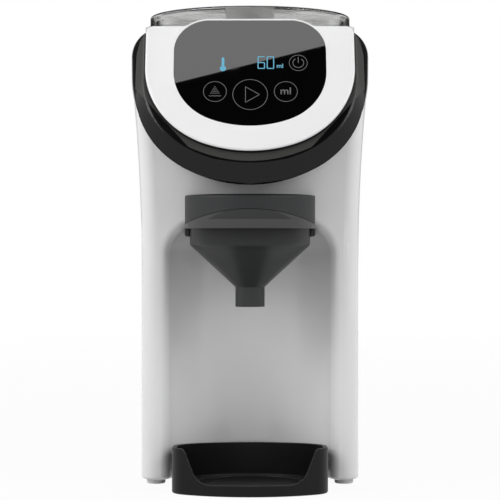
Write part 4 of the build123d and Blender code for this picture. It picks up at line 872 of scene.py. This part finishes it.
cardValues = {
    "strength": 3.6,
    "distance": 1.1,
    "direction": (0, -0.5517, 0.8341),  # from the control glass
    # column and row of its corners, as mirrored in the glass; the first two end its slanting edge
    "corners": ((155, 87.9), (345, 40.3), (345, -60), (155, -60)),
}
cardDirection = Vector(cardValues["direction"]).normalized()


class RoomLight(Finish):
    # the same node helpers for the room's own light
    def __init__(self, world):
        self.tree = world.node_tree


world = bpy.data.worlds.new("room")
bpy.context.scene.world = world
world.use_nodes = True
room = RoomLight(world)
room.tree.nodes.clear()
direction = room.node("ShaderNodeTexCoord", output="Generated")
unlit = room.ramp(room.along(direction, cardDirection), roomValues["darkFade"])
ahead = room.ramp(room.along(direction, (0, -1, 0)), roomValues["frontFade"])
behind = room.ramp(room.along(direction, (0, 1, 0)), roomValues["screens"])
shown = pictured(room)
light = roomValues["level"] - ahead * (roomValues["level"] - roomValues["frontLevel"])
patch = 1 - unlit * (1 - room.rays("Camera")) * (1 - roomValues["dark"])
strength = (shown + light * (1 - shown)) * patch * (1 - behind * room.rays("Glossy"))
background = room.node("ShaderNodeBackground", sockets={"Color": (1, 1, 1), "Strength": strength})
room.put(room.tree.nodes.new("ShaderNodeOutputWorld").inputs["Surface"], background)


def reflectedFrom(column, row):
    # where the glass at this spot of the view mirrors to, on a plane at the card's distance
    eye = Vector(cameraValues["place"])
    scale = cameraValues["lens"] / cameraValues["sensor"] * cameraValues["pictureWidth"]
    middleColumn, middleRow = cameraValues["pictureMiddle"]
    ray = Vector(((column - middleColumn) / scale, 1, (middleRow - row) / scale)).normalized()
    foot = Vector(faceValues["foot"])
    spot = eye + ray * ((foot - eye).dot(faceNormal) / ray.dot(faceNormal))
    mirrored = ray - faceNormal * (2 * ray.dot(faceNormal))
    reach = (cardValues["distance"] - (spot - foot).dot(cardDirection)) / mirrored.dot(cardDirection)
    return spot + mirrored * reach


# a bright card whose slanting edge shows in the glass
cardShape = bmesh.new()
cardCorners = [cardShape.verts.new(reflectedFrom(column, row)) for column, row in cardValues["corners"]]
cardShape.faces.new(cardCorners)
cardFinish = Finish("card_light")
cardFinish.set(
    Base_Color=(0, 0, 0),
    Specular_IOR_Level=0.0,
    Emission_Color=(1, 1, 1),
    Emission_Strength=cardValues["strength"],
)
card = makeObject("card", cardShape, cardFinish.material)
card.visible_camera = False  # it never stands between a view and the machine

lampValues = {
    "distance": 1.6,
    "round": 61,  # degrees to each side of the front
    "up": 33,
    "size": 0.9,
    "powers": {"leftSoftbox": 12.0, "rightSoftbox": 9.0},
    "target": (0, -0.05, 0.15),
}


def softbox(name, side, power):
    turn, rise = math.radians(side * lampValues["round"]), math.radians(lampValues["up"])
    outward = math.cos(rise)
    away = Vector((math.sin(turn) * outward, -math.cos(turn) * outward, math.sin(rise)))
    data = bpy.data.lights.new(name, "AREA")
    data.shape = "SQUARE"
    data.size = lampValues["size"]
    data.energy = power
    lamp = bpy.data.objects.new(name, data)
    lamp.location = Vector(lampValues["target"]) + away * lampValues["distance"]
    lamp.rotation_mode = "QUATERNION"
    lamp.rotation_quaternion = (-away).to_track_quat("-Z", "Y")
    bpy.context.scene.collection.objects.link(lamp)


for side, (name, power) in zip((-1, 1), lampValues["powers"].items()):
    softbox(name, side, power)
print("room and lamps set")

bpy.context.scene.view_settings.view_transform = "Standard"
